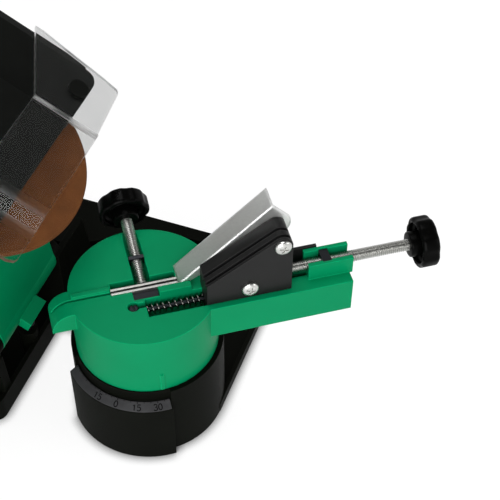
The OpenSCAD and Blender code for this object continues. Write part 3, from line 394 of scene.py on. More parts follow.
def blend_colour(tree, factor, a, b):
    """A colour between two others."""
    settings = {"data_type": "RGBA", "clamp_factor": True}
    return node(tree, "ShaderNodeMix", settings, i0=factor, i6=a, i7=b).outputs[2]


def build_edges(tree, source, sink):
    """Rounded normal over a radius, and a mask of where it leaves the flat normal."""
    bevel = node(tree, "ShaderNodeBevel", {"samples": 6}, Radius=source["Radius"])
    flat = node(tree, "ShaderNodeNewGeometry")
    dot = node(tree, "ShaderNodeVectorMath", {"operation": "DOT_PRODUCT"},
               i0=bevel.outputs[0], i1=flat.outputs["Normal"]).outputs["Value"]
    away = maths(tree, "SUBTRACT", 1.0, dot)
    mask = maths(tree, "MULTIPLY", away, 3.0, clamp=True)
    tree.links.new(bevel.outputs[0], sink["Normal"])
    tree.links.new(mask, sink["Mask"])


def build_grain(tree, source, sink):
    """Fine cells of a moulded skin with broad, faint unevenness of shade."""
    place = node(tree, "ShaderNodeTexCoord").outputs["Object"]
    fine = node(tree, "ShaderNodeTexNoise", Vector=place, Scale=source["Fine"],
                Detail=3.0, Roughness=0.6)
    broad = node(tree, "ShaderNodeTexNoise", Vector=place, Scale=source["Broad"],
                 Detail=4.0, Roughness=0.55)
    cells = node(tree, "ShaderNodeTexVoronoi", Vector=place, Scale=source["Fine"])
    pits = maths(tree, "MULTIPLY", cells.outputs["Distance"], 0.5)
    height = maths(tree, "ADD", fine.outputs["Fac"], pits)
    tree.links.new(height, sink["Height"])
    tree.links.new(broad.outputs["Fac"], sink["Shade"])
    tree.links.new(fine.outputs["Fac"], sink["Speck"])


def build_brushing(tree, source, sink):
    """Streaks: noise stretched along one axis, and broad clouds."""
    place = node(tree, "ShaderNodeTexCoord").outputs["Object"]
    along = node(tree, "ShaderNodeMapping", Vector=place, Rotation=source["Turn"],
                 Scale=source["Stretch"]).outputs[0]
    streak = node(tree, "ShaderNodeTexNoise", Vector=along, Scale=1.0, Detail=5.0, Roughness=0.7)
    broad = node(tree, "ShaderNodeTexNoise", Vector=place, Scale=160.0, Detail=3.0)
    tree.links.new(streak.outputs["Fac"], sink["Streak"])
    tree.links.new(broad.outputs["Fac"], sink["Cloud"])


def edges_group():
    """The group that rounds edges."""
    return group_of("Rounded edges", [("Radius", "NodeSocketFloat", 0.0006)],
                    [("Normal", "NodeSocketVector"), ("Mask", "NodeSocketFloat")], build_edges)


def grain_group():
    """The group that grains a moulded skin."""
    return group_of(
        "Moulded grain",
        [("Fine", "NodeSocketFloat", 2500.0), ("Broad", "NodeSocketFloat", 60.0)],
        [("Height", "NodeSocketFloat"), ("Shade", "NodeSocketFloat"), ("Speck", "NodeSocketFloat")],
        build_grain,
    )


def brushing_group():
    """The group that streaks metal."""
    return group_of(
        "Brushed metal",
        [("Turn", "NodeSocketVector", (0, 0, 0)),
         ("Stretch", "NodeSocketVector", (60, 2500, 2500))],
        [("Streak", "NodeSocketFloat"), ("Cloud", "NodeSocketFloat")],
        build_brushing,
    )


def placed(tree, group, **values):
    """Outputs of a group, used with plain values."""
    made = tree.nodes.new("ShaderNodeGroup")
    made.node_tree = group
    for key, value in values.items():
        made.inputs[key].default_value = value
    return made.outputs


def shaded(rgb, factor):
    """The colour made lighter or darker, with full alpha."""
    return tuple(min(c * factor, 1.0) for c in rgb) + (1.0,)


def new_material(name):
    """A material, its tree and its Principled node."""
    material = bpy.data.materials.new(name)
    material.use_nodes = True
    tree = material.node_tree
    principled = tree.nodes["Principled BSDF"]
    return material, tree, principled


def ranged(tree, value, low, high):
    """A noise value of about 0.3 to 0.7 spread over low to high."""
    spread = node(tree, "ShaderNodeMapRange", i0=value, i1=0.3, i2=0.7, i3=low, i4=high)
    return spread.outputs[0]


def moulded(name, rgb, rough=(0.38, 0.46), fine=2500.0, broad=60.0, bump=0.08, contrast=0.12,
            edge=1.35, specular=0.5, rounding=None):
    """Moulded plastic: faint uneven shade, fine skin grain, rounded edges with a painted highlight
    and slight wear.
    """
    material, tree, principled = new_material(name)
    grain = placed(tree, grain_group(), Fine=fine, Broad=broad)
    edges = placed(tree, edges_group(), Radius=rounding or sizes().edge_round)
    shade = ranged(tree, grain["Shade"], 0.0, 1.0)
    body = blend_colour(tree, shade, shaded(rgb, 1 - contrast), shaded(rgb, 1 + contrast))
    # Edges made lighter by the edge factor: a painted highlight, with slight wear.
    highlight_and_wear = blend_colour(tree, maths(tree, "MULTIPLY", edges["Mask"], 0.8), body, shaded(rgb, edge))
    bump_node = node(tree, "ShaderNodeBump", Strength=bump, Distance=0.0001,
                     Height=grain["Height"], Normal=edges["Normal"])
    tree.links.new(highlight_and_wear, principled.inputs["Base Color"])
    tree.links.new(ranged(tree, grain["Speck"], *rough), principled.inputs["Roughness"])
    tree.links.new(bump_node.outputs[0], principled.inputs["Normal"])
    principled.inputs["Specular IOR Level"].default_value = specular
    return material


def metal(name, rgb, rough=(0.22, 0.36), turn=(0, 0, 0), stretch=(60, 2500, 2500), bump=0.05,
          contrast=0.18, rounding=0.0003):
    """Metal: streaks of shade and roughness, edges brightened as a painted highlight."""
    material, tree, principled = new_material(name)
    brush = placed(tree, brushing_group(), Turn=turn, Stretch=stretch)
    edges = placed(tree, edges_group(), Radius=rounding)
    shade = ranged(tree, brush["Streak"], 0.0, 1.0)
    body = blend_colour(tree, shade, shaded(rgb, 1 - contrast), shaded(rgb, 1 + contrast))
    # Edges brightened: a painted highlight.
    highlight_and_wear = blend_colour(tree, edges["Mask"], body, shaded(rgb, 1.3))
    bump_node = node(tree, "ShaderNodeBump", Strength=bump, Distance=0.00005,
                     Height=brush["Streak"], Normal=edges["Normal"])
    tree.links.new(highlight_and_wear, principled.inputs["Base Color"])
    mixed = maths(tree, "ADD", ranged(tree, brush["Streak"], *rough),
                  ranged(tree, brush["Cloud"], -0.04, 0.04))
    tree.links.new(mixed, principled.inputs["Roughness"])
    tree.links.new(bump_node.outputs[0], principled.inputs["Normal"])
    principled.inputs["Metallic"].default_value = 1.0
    return material


def abrasive(name, rgb):
    """Bonded grit: open cells of darker bond between brighter grains."""
    material, tree, principled = new_material(name)
    place = node(tree, "ShaderNodeTexCoord").outputs["Object"]
    cells = node(tree, "ShaderNodeTexVoronoi", Vector=place, Scale=1500.0)
    grains = node(tree, "ShaderNodeTexVoronoi", Vector=place, Scale=2600.0)
    cloud = node(tree, "ShaderNodeTexNoise", Vector=place, Scale=90.0, Detail=5.0)
    shade = ranged(tree, cloud.outputs["Fac"], 0, 1)
    body = blend_colour(tree, shade, shaded(rgb, 0.86), shaded(rgb, 1.14))
    pits = maths(tree, "LESS_THAN", cells.outputs["Distance"], 0.22)
    pitted = blend_colour(tree, maths(tree, "MULTIPLY", pits, 0.35), body, shaded(rgb, 0.35))
    sparkle = maths(tree, "LESS_THAN", grains.outputs["Distance"], 0.14)
    bright = blend_colour(tree, maths(tree, "MULTIPLY", sparkle, 0.4), pitted, shaded(rgb, 2.2))
    bump_node = node(tree, "ShaderNodeBump", Strength=0.5, Distance=0.0002,
                     Height=cells.outputs["Distance"])
    tree.links.new(bright, principled.inputs["Base Color"])
    tree.links.new(bump_node.outputs[0], principled.inputs["Normal"])
    tree.links.new(ranged(tree, cloud.outputs["Fac"], 0.82, 0.95), principled.inputs["Roughness"])
    principled.inputs["Specular IOR Level"].default_value = 0.06
    return material


def clear_sheet(name, rgb, bent, rough):
    """Clear smoky sheet that bends light a little. Where its "bent" attribute is high, at the bends
    and cut edges, it is rougher and made whiter, a painted highlight. Shadows see a plain tint."""
    material, tree, principled = new_material(name)
    place = node(tree, "ShaderNodeTexCoord").outputs["Object"]
    smear = node(tree, "ShaderNodeTexNoise", Vector=place, Scale=70.0, Detail=4.0)
    highlight_and_wear = node(tree, "ShaderNodeAttribute", {"attribute_name": "bent"}).outputs["Fac"]
    shade = ranged(tree, smear.outputs["Fac"], 0, 1)
    tint = blend_colour(tree, shade, shaded(rgb, 0.985), shaded(rgb, 1.012))
    # The bends and cut edges made whiter: a painted highlight.
    painted_highlight_tint = blend_colour(tree, highlight_and_wear, tint, shaded(bent, 1.0))
    tree.links.new(painted_highlight_tint, principled.inputs["Base Color"])
    haze = maths(tree, "ADD", ranged(tree, smear.outputs["Fac"], rough * 0.7, rough * 1.3),
                 maths(tree, "MULTIPLY", highlight_and_wear, 0.35), clamp=True)
    tree.links.new(haze, principled.inputs["Roughness"])
    principled.inputs["Transmission Weight"].default_value = 1.0
    principled.inputs["IOR"].default_value = 1.16
    principled.inputs["Specular IOR Level"].default_value = 0.5
    clear = node(tree, "ShaderNodeBsdfTransparent", Color=shaded(rgb, 0.95))
    path = node(tree, "ShaderNodeLightPath")
    mix = node(tree, "ShaderNodeMixShader", i0=path.outputs["Is Shadow Ray"],
               i1=principled.outputs[0], i2=clear.outputs[0])
    tree.links.new(mix.outputs[0], tree.nodes["Material Output"].inputs["Surface"])
    return material


VISE_TURN = math.atan2(ALONG[1], ALONG[0])


def slot_finishes():
    """The function, colour and values of each of the record's finishes, and of pieces' own."""
    c = colours()
    along = (0, 0, -VISE_TURN)
    # edge: how much lighter the moulded edges are, a painted highlight with slight wear.
    return {
        "base_black": (moulded, c.base, dict(
            rough=(0.42, 0.52), fine=2200, broad=45, bump=0.10, contrast=0.10, edge=3.5,
            specular=0.025)),
        "scale_grey": (moulded, c.scale, dict(
            rough=(0.34, 0.46), fine=2600, broad=90, bump=0.06, contrast=0.25, edge=1.5,
            specular=0.20)),
        "print_black": (moulded, c.print_black, dict(
            rough=(0.4, 0.5), fine=2600, broad=90, bump=0.02, contrast=0.1, edge=1.2,
            specular=0.05)),
        "green_moulding": (moulded, c.green, dict(
            rough=(0.34, 0.42), fine=2600, broad=38, bump=0.035, contrast=0.05, edge=2.3,
            specular=0.05, rounding=0.0008)),
        "knob_black": (moulded, c.knob, dict(
            rough=(0.26, 0.34), fine=2600, broad=80, bump=0.03, contrast=0.2, edge=2.0,
            specular=0.05)),
        "block_black": (moulded, c.block, dict(
            rough=(0.36, 0.46), fine=2800, broad=80, bump=0.08, contrast=0.1, edge=3.0,
            specular=0.14)),
        "hood_black": (moulded, c.hood, dict(
            rough=(0.42, 0.52), fine=2400, broad=50, bump=0.04, contrast=0.12, edge=3.0,
            specular=0.06)),
        "handle_black": (moulded, c.handle, dict(
            rough=(0.55, 0.7), fine=1500, broad=60, bump=0.30, contrast=0.12, edge=1.8,
            specular=0.15)),
        "black_rubber": (moulded, c.rubber, dict(
            rough=(0.7, 0.85), fine=1800, broad=70, bump=0.2, contrast=0.15, edge=1.4,
            specular=0.12)),
        "carbon": (moulded, c.carbon, dict(rough=(0.6, 0.75))),
        "zinc_steel": (metal, c.zinc, dict(
            rough=(0.20, 0.30), bump=0.01, contrast=0.08, rounding=0.0005)),
        # A darker copy of the zinc for the threads: painted shade.
        "thread_steel_painted_shade": (metal, c.thread, dict(
            rough=(0.22, 0.30), bump=0.01, contrast=0.05, rounding=0.0001)),
        "spring_steel": (metal, c.wire, dict(rough=(0.16, 0.26))),
        "rail_steel": (metal, c.rail, dict(
            rough=(0.28, 0.40), turn=along, stretch=(40, 3000, 3000), bump=0.06, contrast=0.16)),
        # The flap's steel is a brighter copy of the rail steel: painted light.
        "flap_steel_painted_light": (metal, c.flap, dict(
            rough=(0.40, 0.47), turn=along, stretch=(30, 900, 900), bump=0.01, contrast=0.04,
            rounding=0.0018)),
        "dark_steel": (metal, c.dark_steel, dict(rough=(0.35, 0.5))),
        "bronze": (metal, c.bronze, dict(rough=(0.32, 0.45))),
        "clear_plastic": (clear_sheet, c.clear, dict(bent=c.bend, rough=0.03)),
        "abrasive": (abrasive, c.grit, {}),
    }


# Nodes whose look differs from their slot's, and the materials made so far
# The stop flap's own finish is a brighter copy of the rail steel: painted light.
OWN_FINISH = {"stop_flap": "flap_steel_painted_light", "spring_rod": "dark_steel", "guide_post": "dark_steel",
              "guard_screws": "hood_black"}
MADE = {}


def finish(slot):
    """The material of a slot, made at its first use."""
    if slot not in MADE:
        make, rgb, values = slot_finishes()[slot]
        MADE[slot] = make(slot, rgb, **values)
    return MADE[slot]


# Operators


class GRINDER_OT_finishes(bpy.types.Operator):
    """Give every solid of the frame its own finish"""

    bl_idname = "grinder.finishes"
    bl_label = "Finishes"

    def execute(self, context):
        slots = {s["node"]: s["material_slot"] for s in frame["record"]["subparts"]}
        for name, solid in frame["nodes"].items():
            solid.data.materials.clear()
            solid.data.materials.append(finish(OWN_FINISH.get(name, slots[name])))
        return {"FINISHED"}


class GRINDER_OT_screws(bpy.types.Operator):
    """Cut the threads of the clamp screw and of the adjusting screw"""

    bl_idname = "grinder.screws"
    bl_label = "Threaded screws"

    def execute(self, context):
        s = sizes()
        pitch, depth = s.thread_pitch / MM, s.thread_depth / MM
        neck_slope, neck_slim = 0.8, 0.36
        for name, place, body, neck in (
            ("clamp_screw", CLAMP, "clamp", 3.2),
            ("adjusting_screw", ADJUST, "adjuster", 0.0),
        ):
            low, high, radius = extent(name, place)
            points, faces = threaded(high[2] - low[2], radius, pitch, depth, neck + 1)
            if neck:
                near = np.clip((neck - points[:, 2]) / neck_slope, 0, 1)
                points[:, :2] *= (1 - near * neck_slim)[:, None]
            points[:, 2] += low[2]
            # The threads take the darker copy of the zinc: painted shade.
            piece("thread_" + name, place.out(points), faces, body, "zinc_steel", (name,),
                  own="thread_steel_painted_shade")
        return {"FINISHED"}


def flute(angle, radius, count, deep, cutter=0.9, soften=0.5):
    """Radius of a fluted rim: the lesser of the rim and of circles that cut into it, the cutter
    times its size, their centres spread evenly outside the rim, with a soft corner between."""
    cut = radius * cutter
    centre = radius + cut - deep
    step = 2 * math.pi / count
    off = np.mod(angle, step) - step / 2
    inside = np.maximum(cut**2 - (centre * np.sin(off)) ** 2, 0)
    reach = centre * np.cos(off) - np.sqrt(inside)
    reach = np.where(inside > 0, reach, radius + deep)
    h = np.clip(0.5 + 0.5 * (reach - radius) / soften, 0, 1)
    return reach * (1 - h) + radius * h - soften * h * (1 - h)


def knob(low_z, collar_r, collar_out, high_z, radius, bore, count, deep, rounding, through,
         steps=168):
    """Fluted hand knob. A closed profile of (radius, height) rows runs from the bore over the
    collar, the dished ring and the rim to the back. Rows on the rim follow the fluted radius less
    their own inset, and rows of the collar and bore stay round. The bore goes through, or stops
    behind the collar."""
    dish_deep, ring_wide, bore_deep, back_deep = 3.5, 2.6, 6, 0.5
    collar_edge, fillet, ring_edge = 0.6, 0.8, 1.0
    face = low_z + collar_out
    dish = face + dish_deep
    ring_in = radius - ring_wide
    front = rounding * 0.8
    rows = [(bore, low_z + bore_deep, 0), (bore, low_z, 0)]
    rows += [(r, z, 0) for r, z in
             quarter(collar_edge, (collar_r - collar_edge, low_z + collar_edge), -90)]
    rows += [(collar_r, dish - fillet, 0), (collar_r + fillet, dish, 0),
             (ring_in - ring_edge, dish, 0), (ring_in, dish - ring_edge, 0),
             (ring_in, face + 0.5, 0)]
    rows += [(r - radius, z, 1) for r, z in quarter(front, (radius - front, face + front), -90)]
    rows += [(r - radius, z, 1) for r, z in
             quarter(rounding, (radius - rounding, high_z - rounding), 0, 7)]
    rows += [(radius * 0.72, high_z, 0), (radius * 0.66, high_z - back_deep / 2, 0)]
    if through:
        rows += [(bore, high_z - back_deep, 0), (bore, low_z + bore_deep, 0)]
    else:
        rows += [(0, high_z - back_deep, 0)]
    rows = np.array(rows, float)
    angle = np.linspace(0, 2 * math.pi, steps, endpoint=False)[:, None]
    rim = flute(angle, radius, count, deep)
    r = np.where(rows[:, 2] > 0, rim + rows[:, 0], rows[:, 0])
    z = np.broadcast_to(rows[:, 1], r.shape)
    points = np.stack([r * np.cos(angle), r * np.sin(angle), z], -1)
    return points, quads(steps, len(rows), True, False)


class GRINDER_OT_knobs(bpy.types.Operator):
    """Shape the fluted hand knobs with rounded rims"""

    bl_idname = "grinder.knobs"
    bl_label = "Hand knobs"

    def execute(self, context):
        s = sizes()
        collar_out, lock_collar, lock_flutes = 3.5, 9.4, 6
        screw_r = extent("clamp_screw", CLAMP)[2]
        screw_bore, screw_collar = screw_r + 0.02, screw_r + 3.4
        stud_bore = extent("vise_stud", BASE)[2] + 0.08
        for name, place, body, bore, collar, count, through in (
            ("clamp_knob", CLAMP, "clamp", screw_bore, screw_collar, s.knob_flutes, False),
            ("adjusting_knob", ADJUST, "adjuster", screw_bore, screw_collar, s.knob_flutes, False),
            ("lock_knob", UNDER, "lock_hand_knob", stud_bore, lock_collar, lock_flutes, True),
        ):
            low, high, radius = extent(name, place)
            points, faces = knob(low[2], collar, collar_out, high[2], radius, bore, count,
                                 s.flute_depth / MM, s.knob_round / MM, through)
            piece("fluted_" + name, place.out(points), faces, body, "knob_black", (name,))
        return {"FINISHED"}


class GRINDER_OT_springs(bpy.types.Operator):
    """Wind the stop spring and the return spring"""

    bl_idname = "grinder.springs"
    bl_label = "Springs"

    def execute(self, context):
        s = sizes()
        low, high, _ = extent("stop_spring", VISE)
        wire = s.stop_wire / MM
        middle = (low + high) / 2
        axis = Place(VISE.out([low[0] + wire / 2, middle[1], middle[2]]), UP, ALONG)
        outer = (high[2] - low[2]) / 2
        path = coil(outer - wire / 2, s.stop_curls, high[0] - low[0] - wire)
        points, faces = tube(path, wire / 2, 10)
        wound = piece("coil_stop_spring", axis.out(points), faces, "vise", "spring_steel",
                      ("stop_spring",))
        wound.parent = None
        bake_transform(wound)
        wound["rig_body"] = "vise"
        low, high, radius = extent("return_spring", HINGE)
        wire = s.return_wire / MM
        start = Place(HINGE.out([0, 0, low[2] + wire / 2]), UP, (0, 1, 0))
        path = coil(radius - wire / 2, s.return_curls, high[2] - low[2] - wire)
        points, faces = tube(path, wire / 2, 12)
        piece("coil_return_spring", start.out(points), faces, "base", "spring_steel",
              ("return_spring",))
        return {"FINISHED"}


def rounded_line(corners, radius, steps=7, lead=0.6):
    """An open line of (y, z) corners whose inner corners are replaced by arcs, with a point at the
    lead before and after each arc: points, and for each how much it belongs to a bend."""
    corners = np.asarray(corners, float)
    points, bent = [corners[0]], [0.0]
    for before, here, after in zip(corners, corners[1:], corners[2:]):
        u = (before - here) / np.linalg.norm(before - here)
        v = (after - here) / np.linalg.norm(after - here)
        half = math.acos(float(np.clip(u @ v, -1, 1))) / 2
        middle = here + (u + v) / np.linalg.norm(u + v) * radius / math.sin(half)
        start, end = here + u * radius / math.tan(half), here + v * radius / math.tan(half)
        a, b = (start - middle) / radius, (end - middle) / radius
        t = np.linspace(0, 1, steps)[:, None]
        arc = (1 - t) * a + t * b
        arc = middle + radius * arc / np.linalg.norm(arc, axis=1)[:, None]
        points += [start + u * lead, *arc, end + v * lead]
        bent += [0.0] + [1.0] * steps + [0.0]
    return np.array(points + [corners[-1]]), np.array(bent + [0.0])


def filled_line(points, bent, step):
    """The same line with further points so that none lie farther apart than a step."""
    out, marks = [points[:1]], [bent[:1]]
    for a, b, m, n in zip(points, points[1:], bent, bent[1:]):
        count = max(int(np.linalg.norm(b - a) / step), 1)
        t = np.arange(1, count + 1)[:, None] / count
        out.append(a + (b - a) * t)
        marks.append(m + (n - m) * t[:, 0])
    return np.vstack(out), np.concatenate(marks)


def convex_right(cad, y):
    """The right border of the sheet at each y: the outermost line over the solid's own corners."""
    order = np.argsort(cad[:, 1])
    hull = []
    for px, py in cad[order][:, :2]:
        while len(hull) > 1 and ((hull[-1][1] - hull[-2][1]) * (px - hull[-2][0])
                                 - (hull[-1][0] - hull[-2][0]) * (py - hull[-2][1])) >= 0:
            hull.pop()
        hull.append((px, py))
    hull = np.array(hull)
    return np.interp(y, hull[:, 1], hull[:, 0])


def section_and_borders(cad):
    """Reads the bent sheet's own corners in the head's axes: the (y, z) corners of its outer face
    from wing to wing, its thickness, and the (y, x) corners of its left border."""
    at_end, at_level, at_slope, far_in = 0.01, 0.02, 0.3, 0.6
    near, far = cad[:, 1].min(), cad[:, 1].max()
    foot_z = cad[cad[:, 1] < near + at_end, 2]
    side, crown = foot_z.max(), cad[:, 2].max()
    slope_in = np.abs(cad[np.isclose(cad[:, 2], crown, atol=at_level), 1]).max()
    slope_out = np.abs(cad[np.isclose(cad[:, 2], side, atol=at_level), 1]).min()
    left, right = cad[:, 0].min(), cad[:, 0].max()
    on_slope = np.isclose(np.abs(cad[:, 1]), slope_out, atol=at_slope)
    left_in = cad[on_slope & (cad[:, 0] < (left + right) / 2), 0].max()
    line = [(near, side), (-slope_out, side), (-slope_in, crown), (slope_in, crown),
            (slope_out, side), (far - far_in, side)]
    border = ([near, -slope_out, slope_out, far], [left, left_in, left_in, left])
    return line, np.ptp(foot_z), border


class GRINDER_OT_guard(bpy.types.Operator):
    """Bend the clear guard over the wheel, with its bends and cut edges made whiter as a painted
    highlight
    """

    bl_idname = "grinder.guard"
    bl_label = "Clear guard"

    def execute(self, context):
        """A middle line runs over the sheet from wing to wing. Each of its points is spread along
        X from the left border to the right one, and both faces lie off it along its normal."""
        step, least_wide, painted_highlight_reach, inside = 1.5, 0.6, 0.9, 0.02
        cad = HEAD.into(node_points("clear_guard"))
        near, far = cad[:, 1].min(), cad[:, 1].max()
        line, thick, border = section_and_borders(cad)
        line = [(y, z - thick / 2) for y, z in line]
        middle, bent = rounded_line(line, sizes().bend_radius / MM + thick)
        middle, bent = filled_line(middle, bent, step)
        along = np.gradient(middle, axis=0)
        along /= np.linalg.norm(along, axis=1)[:, None]
        normal = np.stack([-along[:, 1], along[:, 0]], -1)
        y = middle[:, 0]
        low_x = np.interp(y, *border)
        wide = np.maximum(convex_right(cad, y), low_x + least_wide) - low_x
        t = np.concatenate([[0, 0.012, 0.03], np.linspace(0.06, 0.94, 40), [0.97, 0.988, 1]])
        x = low_x[:, None] + wide[:, None] * t
        rim = np.minimum(t, 1 - t)[None, :] * wide[:, None]
        # How much whiter each point is, at the bends, cut edges and ends: a painted highlight.
        mark = np.maximum(bent[:, None], np.clip(1 - rim / painted_highlight_reach, 0, 1))
        ends = np.minimum(y - near, far - y)[:, None]
        mark = np.clip(np.maximum(mark, np.clip(1 - ends / painted_highlight_reach, 0, 1)), 0, 1)
        sheets = []
        for offset in (thick / 2 - inside, inside - thick / 2):
            yz = middle + offset * normal
            sheets.append(np.stack([x, np.broadcast_to(yz[:, :1], x.shape),
                                    np.broadcast_to(yz[:, 1:], x.shape)], -1).reshape(-1, 3))
        rows, columns = x.shape
        count = rows * columns
        grid = quads(rows, columns, False, False)
        edge = np.concatenate([
            np.arange(columns), np.arange(1, rows) * columns + columns - 1,
            count - 2 - np.arange(columns - 1), np.arange(rows - 2, 0, -1) * columns])
        after = np.roll(edge, -1)
        walls = np.stack([edge, after, after + count, edge + count], -1)
        made = piece("bent_guard", HEAD.out(np.vstack(sheets)),
                     [grid, grid[:, ::-1] + count, walls], "head", "clear_plastic",
                     ("clear_guard",), 50)
        marks = np.tile(mark.reshape(-1), 2).astype(np.float32)
        if len(made.data.vertices) != len(marks):
            raise RuntimeError("the guard's points were merged")
        made.data.attributes.new("bent", "FLOAT", "POINT").data.foreach_set("value", marks)
        return {"FINISHED"}


# Lines of each digit, with a height of 1
DIGITS = {
    "0": [[(0.28 + 0.26 * math.cos(a / 8 * math.pi), 0.5 + 0.46 * math.sin(a / 8 * math.pi))
           for a in range(17)]],
    "1": [[(0.10, 0.74), (0.32, 0.96), (0.32, 0.04)]],
    "3": [[(0.04, 0.84), (0.18, 0.96), (0.38, 0.96), (0.52, 0.84), (0.50, 0.62), (0.24, 0.52),
           (0.50, 0.42), (0.55, 0.20), (0.40, 0.05), (0.18, 0.04), (0.03, 0.16)]],
    "5": [[(0.52, 0.95), (0.12, 0.95), (0.08, 0.56), (0.30, 0.62), (0.50, 0.50), (0.54, 0.26),
           (0.38, 0.06), (0.16, 0.05), (0.03, 0.16)]],
}


def ribbon(line, width):
    """A flat strip along a line in the plane: two rows of points square to its direction."""
    line = np.asarray(line, float)
    along = np.gradient(line, axis=0)
    along /= np.linalg.norm(along, axis=1)[:, None]
    side = np.stack([-along[:, 1], along[:, 0]], -1) * width / 2
    return np.stack([line - side, line + side], 1).reshape(-1, 2), quads(len(line), 2, False, False)


class GRINDER_OT_scale(bpy.types.Operator):
    """Print the marks and the numbers of the turning scale"""

    bl_idname = "grinder.scale"
    bl_label = "Scale marks"

    def execute(self, context):
        """Strips are drawn flat, x in millimetres round the plate and y from its outer edge
        inwards, then bent round: the angle is x over a middle radius, and radius and height go
        from the outer edge to the inner one with y."""
        s = sizes()
        start, end, zero = math.radians(-135), math.radians(-52), math.radians(-90)
        mark_wide, mark_long, mark_short, margin = 0.4, 0.9, 0.5, 0.15
        stroke_wide, advance, centring, foot = 0.52, 0.72, 0.06, 0.5
        cad = BASE.into(node_points("scale_plate"))
        radius = np.hypot(cad[:, 0], cad[:, 1])
        high_top = cad[:, 2].max()
        outer, inner = radius.max(), radius[cad[:, 2] > high_top - 0.05].min()
        low_top = cad[radius > outer - 0.02, 2].max()
        run = np.hypot(outer - inner, high_top - low_top)
        middle_r = outer - 2.5
        strips = []
        for k in range(int((start - zero) / s.tick_pitch), int((end - zero) / s.tick_pitch) + 1):
            top = run - margin
            foot_of_mark = top - (mark_long if k % 3 == 0 else mark_short)
            angle = zero + k * s.tick_pitch
            flat, faces = ribbon([(angle, top), (angle, foot_of_mark)], mark_wide)
            strips.append((flat - [angle, 0], faces, angle))
        tall = s.numeral / MM
        for label, degrees in (("15", -105), ("0", -90), ("15", -75), ("30", -60)):
            wide = advance * tall * len(label)
            for i, digit in enumerate(label):
                for stroke in DIGITS[digit]:
                    stroke = np.array(stroke) * tall
                    stroke[:, 0] += advance * tall * i - wide / 2 + centring
                    flat, faces = ribbon(stroke + [0, foot], stroke_wide)
                    strips.append((flat, faces, math.radians(degrees)))
        points, faces, count = [], [], 0
        for flat, strip_faces, place in strips:
            angle = place + flat[:, 0] / middle_r
            share = flat[:, 1] / run
            r = outer + (inner - outer) * share
            z = low_top + (high_top - low_top) * share
            above = self.lift(angle, 0.04)
            points.append(np.stack([r * np.cos(angle), r * np.sin(angle), z], -1) + above)
            faces.append(strip_faces + count)
            count += len(flat)
        piece("scale_marks", BASE.out(np.vstack(points)), np.vstack(faces), "base", "base_black",
              own="print_black")
        return {"FINISHED"}

    def lift(self, angle, height):
        """Small step outwards and up from the plate, so that the print lies on it."""
        out, up = 0.5, 0.85
        return height * np.stack([out * np.cos(angle), out * np.sin(angle),
                                  np.full_like(angle, up)], -1)


def make_floor(scene):
    """A wide pale floor. It looks white to the camera, with a painted contact shadow close to what
    stands on it.
    """
    side, painted_shadow_reach = 6.0, 0.006
    pale, pale_seen = 0.9, 0.22
    floor = bpy.data.objects.new("floor", mesh_of(
        "floor", [(-side, -side, 0), (side, -side, 0), (side, side, 0), (-side, side, 0)],
        np.array([[0, 1, 2, 3]])))
    scene.collection.objects.link(floor)
    material, tree, principled = new_material("pale_floor")
    principled.inputs["Base Color"].default_value = (pale, pale, pale, 1)
    principled.inputs["Roughness"].default_value = 0.9
    principled.inputs["Specular IOR Level"].default_value = 0.0
    seen = node(tree, "ShaderNodeLightPath").outputs["Is Camera Ray"]
    lit = node(tree, "ShaderNodeMix", i0=seen, i2=pale, i3=pale_seen).outputs[0]
    tree.links.new(lit, principled.inputs["Base Color"])
    # Close to what stands on it the floor's white dims for the camera: a painted contact shadow,
    # besides the real shadow of its lit part.
    near = node(tree, "ShaderNodeAmbientOcclusion", {"samples": 12}, Distance=painted_shadow_reach).outputs["AO"]
    share = node(tree, "ShaderNodeMapRange", i0=near, i1=0.40, i2=0.97, i3=0.02, i4=0.84).outputs[0]
    camera_white_with_painted_shadow = node(tree, "ShaderNodeEmission", Color=(1, 1, 1, 1),
                Strength=maths(tree, "MULTIPLY", share, seen))
    both = node(tree, "ShaderNodeAddShader", i0=principled.outputs[0], i1=camera_white_with_painted_shadow.outputs[0])
    tree.links.new(both.outputs[0], tree.nodes["Material Output"].inputs["Surface"])
    floor.data.materials.append(material)


def make_surroundings(scene):
    """White to the camera and through the sheet. Reflections see it darken with height, and the
    rest gets an even light from it."""
    low, high, bright, dim, even = 0.22, 0.6, 0.85, 0.13, 0.42
    world = bpy.data.worlds.new("surroundings")
    scene.world = world
    world.use_nodes = True
    tree = world.node_tree
    background = tree.nodes["Background"]
    background.inputs["Color"].default_value = (1, 1, 1, 1)
    path = node(tree, "ShaderNodeLightPath").outputs
    seen = maths(tree, "MAXIMUM", path["Is Camera Ray"], path["Is Transmission Ray"])
    way = node(tree, "ShaderNodeTexCoord").outputs["Generated"]
    height = node(tree, "ShaderNodeSeparateXYZ", Vector=way).outputs["Z"]
    mirrored = node(tree, "ShaderNodeMapRange", i0=height, i1=low, i2=high, i3=bright,
                    i4=dim).outputs[0]
    plain = node(tree, "ShaderNodeMix", i0=path["Is Glossy Ray"], i2=even, i3=mirrored).outputs[0]
    tree.links.new(maths(tree, "MAXIMUM", seen, plain), background.inputs["Strength"])


def make_lamps(scene):
    """Square soft lamps: name, place and target in metres, width in metres, power in watts."""
    for name, place, target, size, power in (
        ("front_softbox", (0.25, -1.1, 0.55), (0, 0, 0.05), 0.9, 12.5),
        ("top_softbox", (-0.25, 0.25, 1.3), (0, 0, 0.05), 0.8, 6.0),
        ("right_softbox", (1.2, 0.1, 0.7), (0, 0, 0.06), 0.7, 3.0),
    ):
        lamp = bpy.data.lights.new(name, "AREA")
        lamp.shape = "SQUARE"
        lamp.size = size
        lamp.energy = power
        light = bpy.data.objects.new(name, lamp)
        scene.collection.objects.link(light)
        light.location = place
        aim = Vector(np.array(target) - np.array(place))
        light.rotation_euler = aim.to_track_quat("-Z", "Y").to_euler()


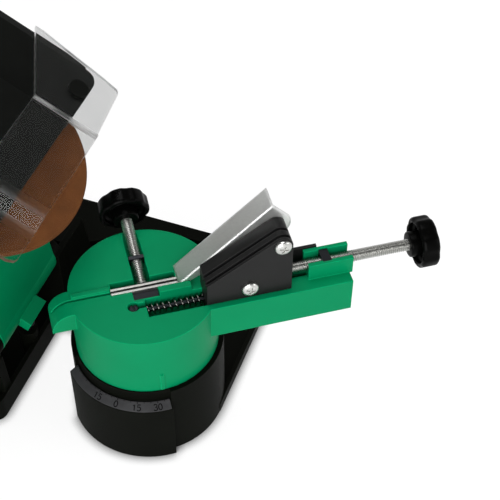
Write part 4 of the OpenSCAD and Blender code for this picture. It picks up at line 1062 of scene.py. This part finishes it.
def make_camera(scene):
    """The camera as solved from the photo: its place, and where its right, down and ahead point."""
    place = (0.1764, -0.3475, 0.5373)
    right = (0.94023, 0.34049, 0.00703)
    down = (0.25686, -0.69546, -0.67110)
    ahead = (-0.22362, 0.63280, -0.74133)
    camera = bpy.data.cameras.new("camera")
    camera.lens = 90.0
    camera.sensor_width = 36.0
    camera.clip_start = 0.01
    camera.clip_end = 50
    eye = bpy.data.objects.new("camera", camera)
    scene.collection.objects.link(eye)
    turn = Matrix((right, [-d for d in down], [-a for a in ahead])).transposed()
    eye.matrix_world = Matrix.Translation(place) @ turn.to_4x4()
    scene.camera = eye


class GRINDER_OT_stage(bpy.types.Operator):
    """Set the pale floor, the soft lights, the plain surroundings and the camera"""

    bl_idname = "grinder.stage"
    bl_label = "Stage"

    def execute(self, context):
        scene = context.scene
        make_floor(scene)
        make_surroundings(scene)
        make_lamps(scene)
        make_camera(scene)
        scene.view_settings.view_transform = "Standard"
        return {"FINISHED"}


class GRINDER_PT_panel(bpy.types.Panel):
    """Lists what the looks are made of"""

    bl_label = "Chain grinder"
    bl_idname = "GRINDER_PT_panel"
    bl_space_type = "VIEW_3D"
    bl_region_type = "UI"
    bl_category = "Grinder"

    def draw(self, context):
        layout = self.layout
        for operator in OPERATORS:
            layout.operator(operator.bl_idname)
        for group in (context.scene.grinder_sizes, context.scene.grinder_colours):
            for name in group.__annotations__:
                layout.prop(group, name)


OPERATORS = (
    GRINDER_OT_finishes,
    GRINDER_OT_screws,
    GRINDER_OT_knobs,
    GRINDER_OT_springs,
    GRINDER_OT_guard,
    GRINDER_OT_scale,
    GRINDER_OT_stage,
)
CLASSES = (GrinderSizes, GrinderColours, *OPERATORS, GRINDER_PT_panel)


def register():
    for cls in CLASSES:
        bpy.utils.register_class(cls)
    bpy.types.Scene.grinder_sizes = PointerProperty(type=GrinderSizes)
    bpy.types.Scene.grinder_colours = PointerProperty(type=GrinderColours)


def unregister():
    del bpy.types.Scene.grinder_colours
    del bpy.types.Scene.grinder_sizes
    for cls in reversed(CLASSES):
        bpy.utils.unregister_class(cls)


def main():
    """Makes every piece in order."""
    register()
    bpy.ops.grinder.finishes()
    bpy.ops.grinder.screws()
    bpy.ops.grinder.knobs()
    bpy.ops.grinder.springs()
    bpy.ops.grinder.guard()
    bpy.ops.grinder.scale()
    bpy.ops.grinder.stage()


if __name__ == "__main__":
    main()
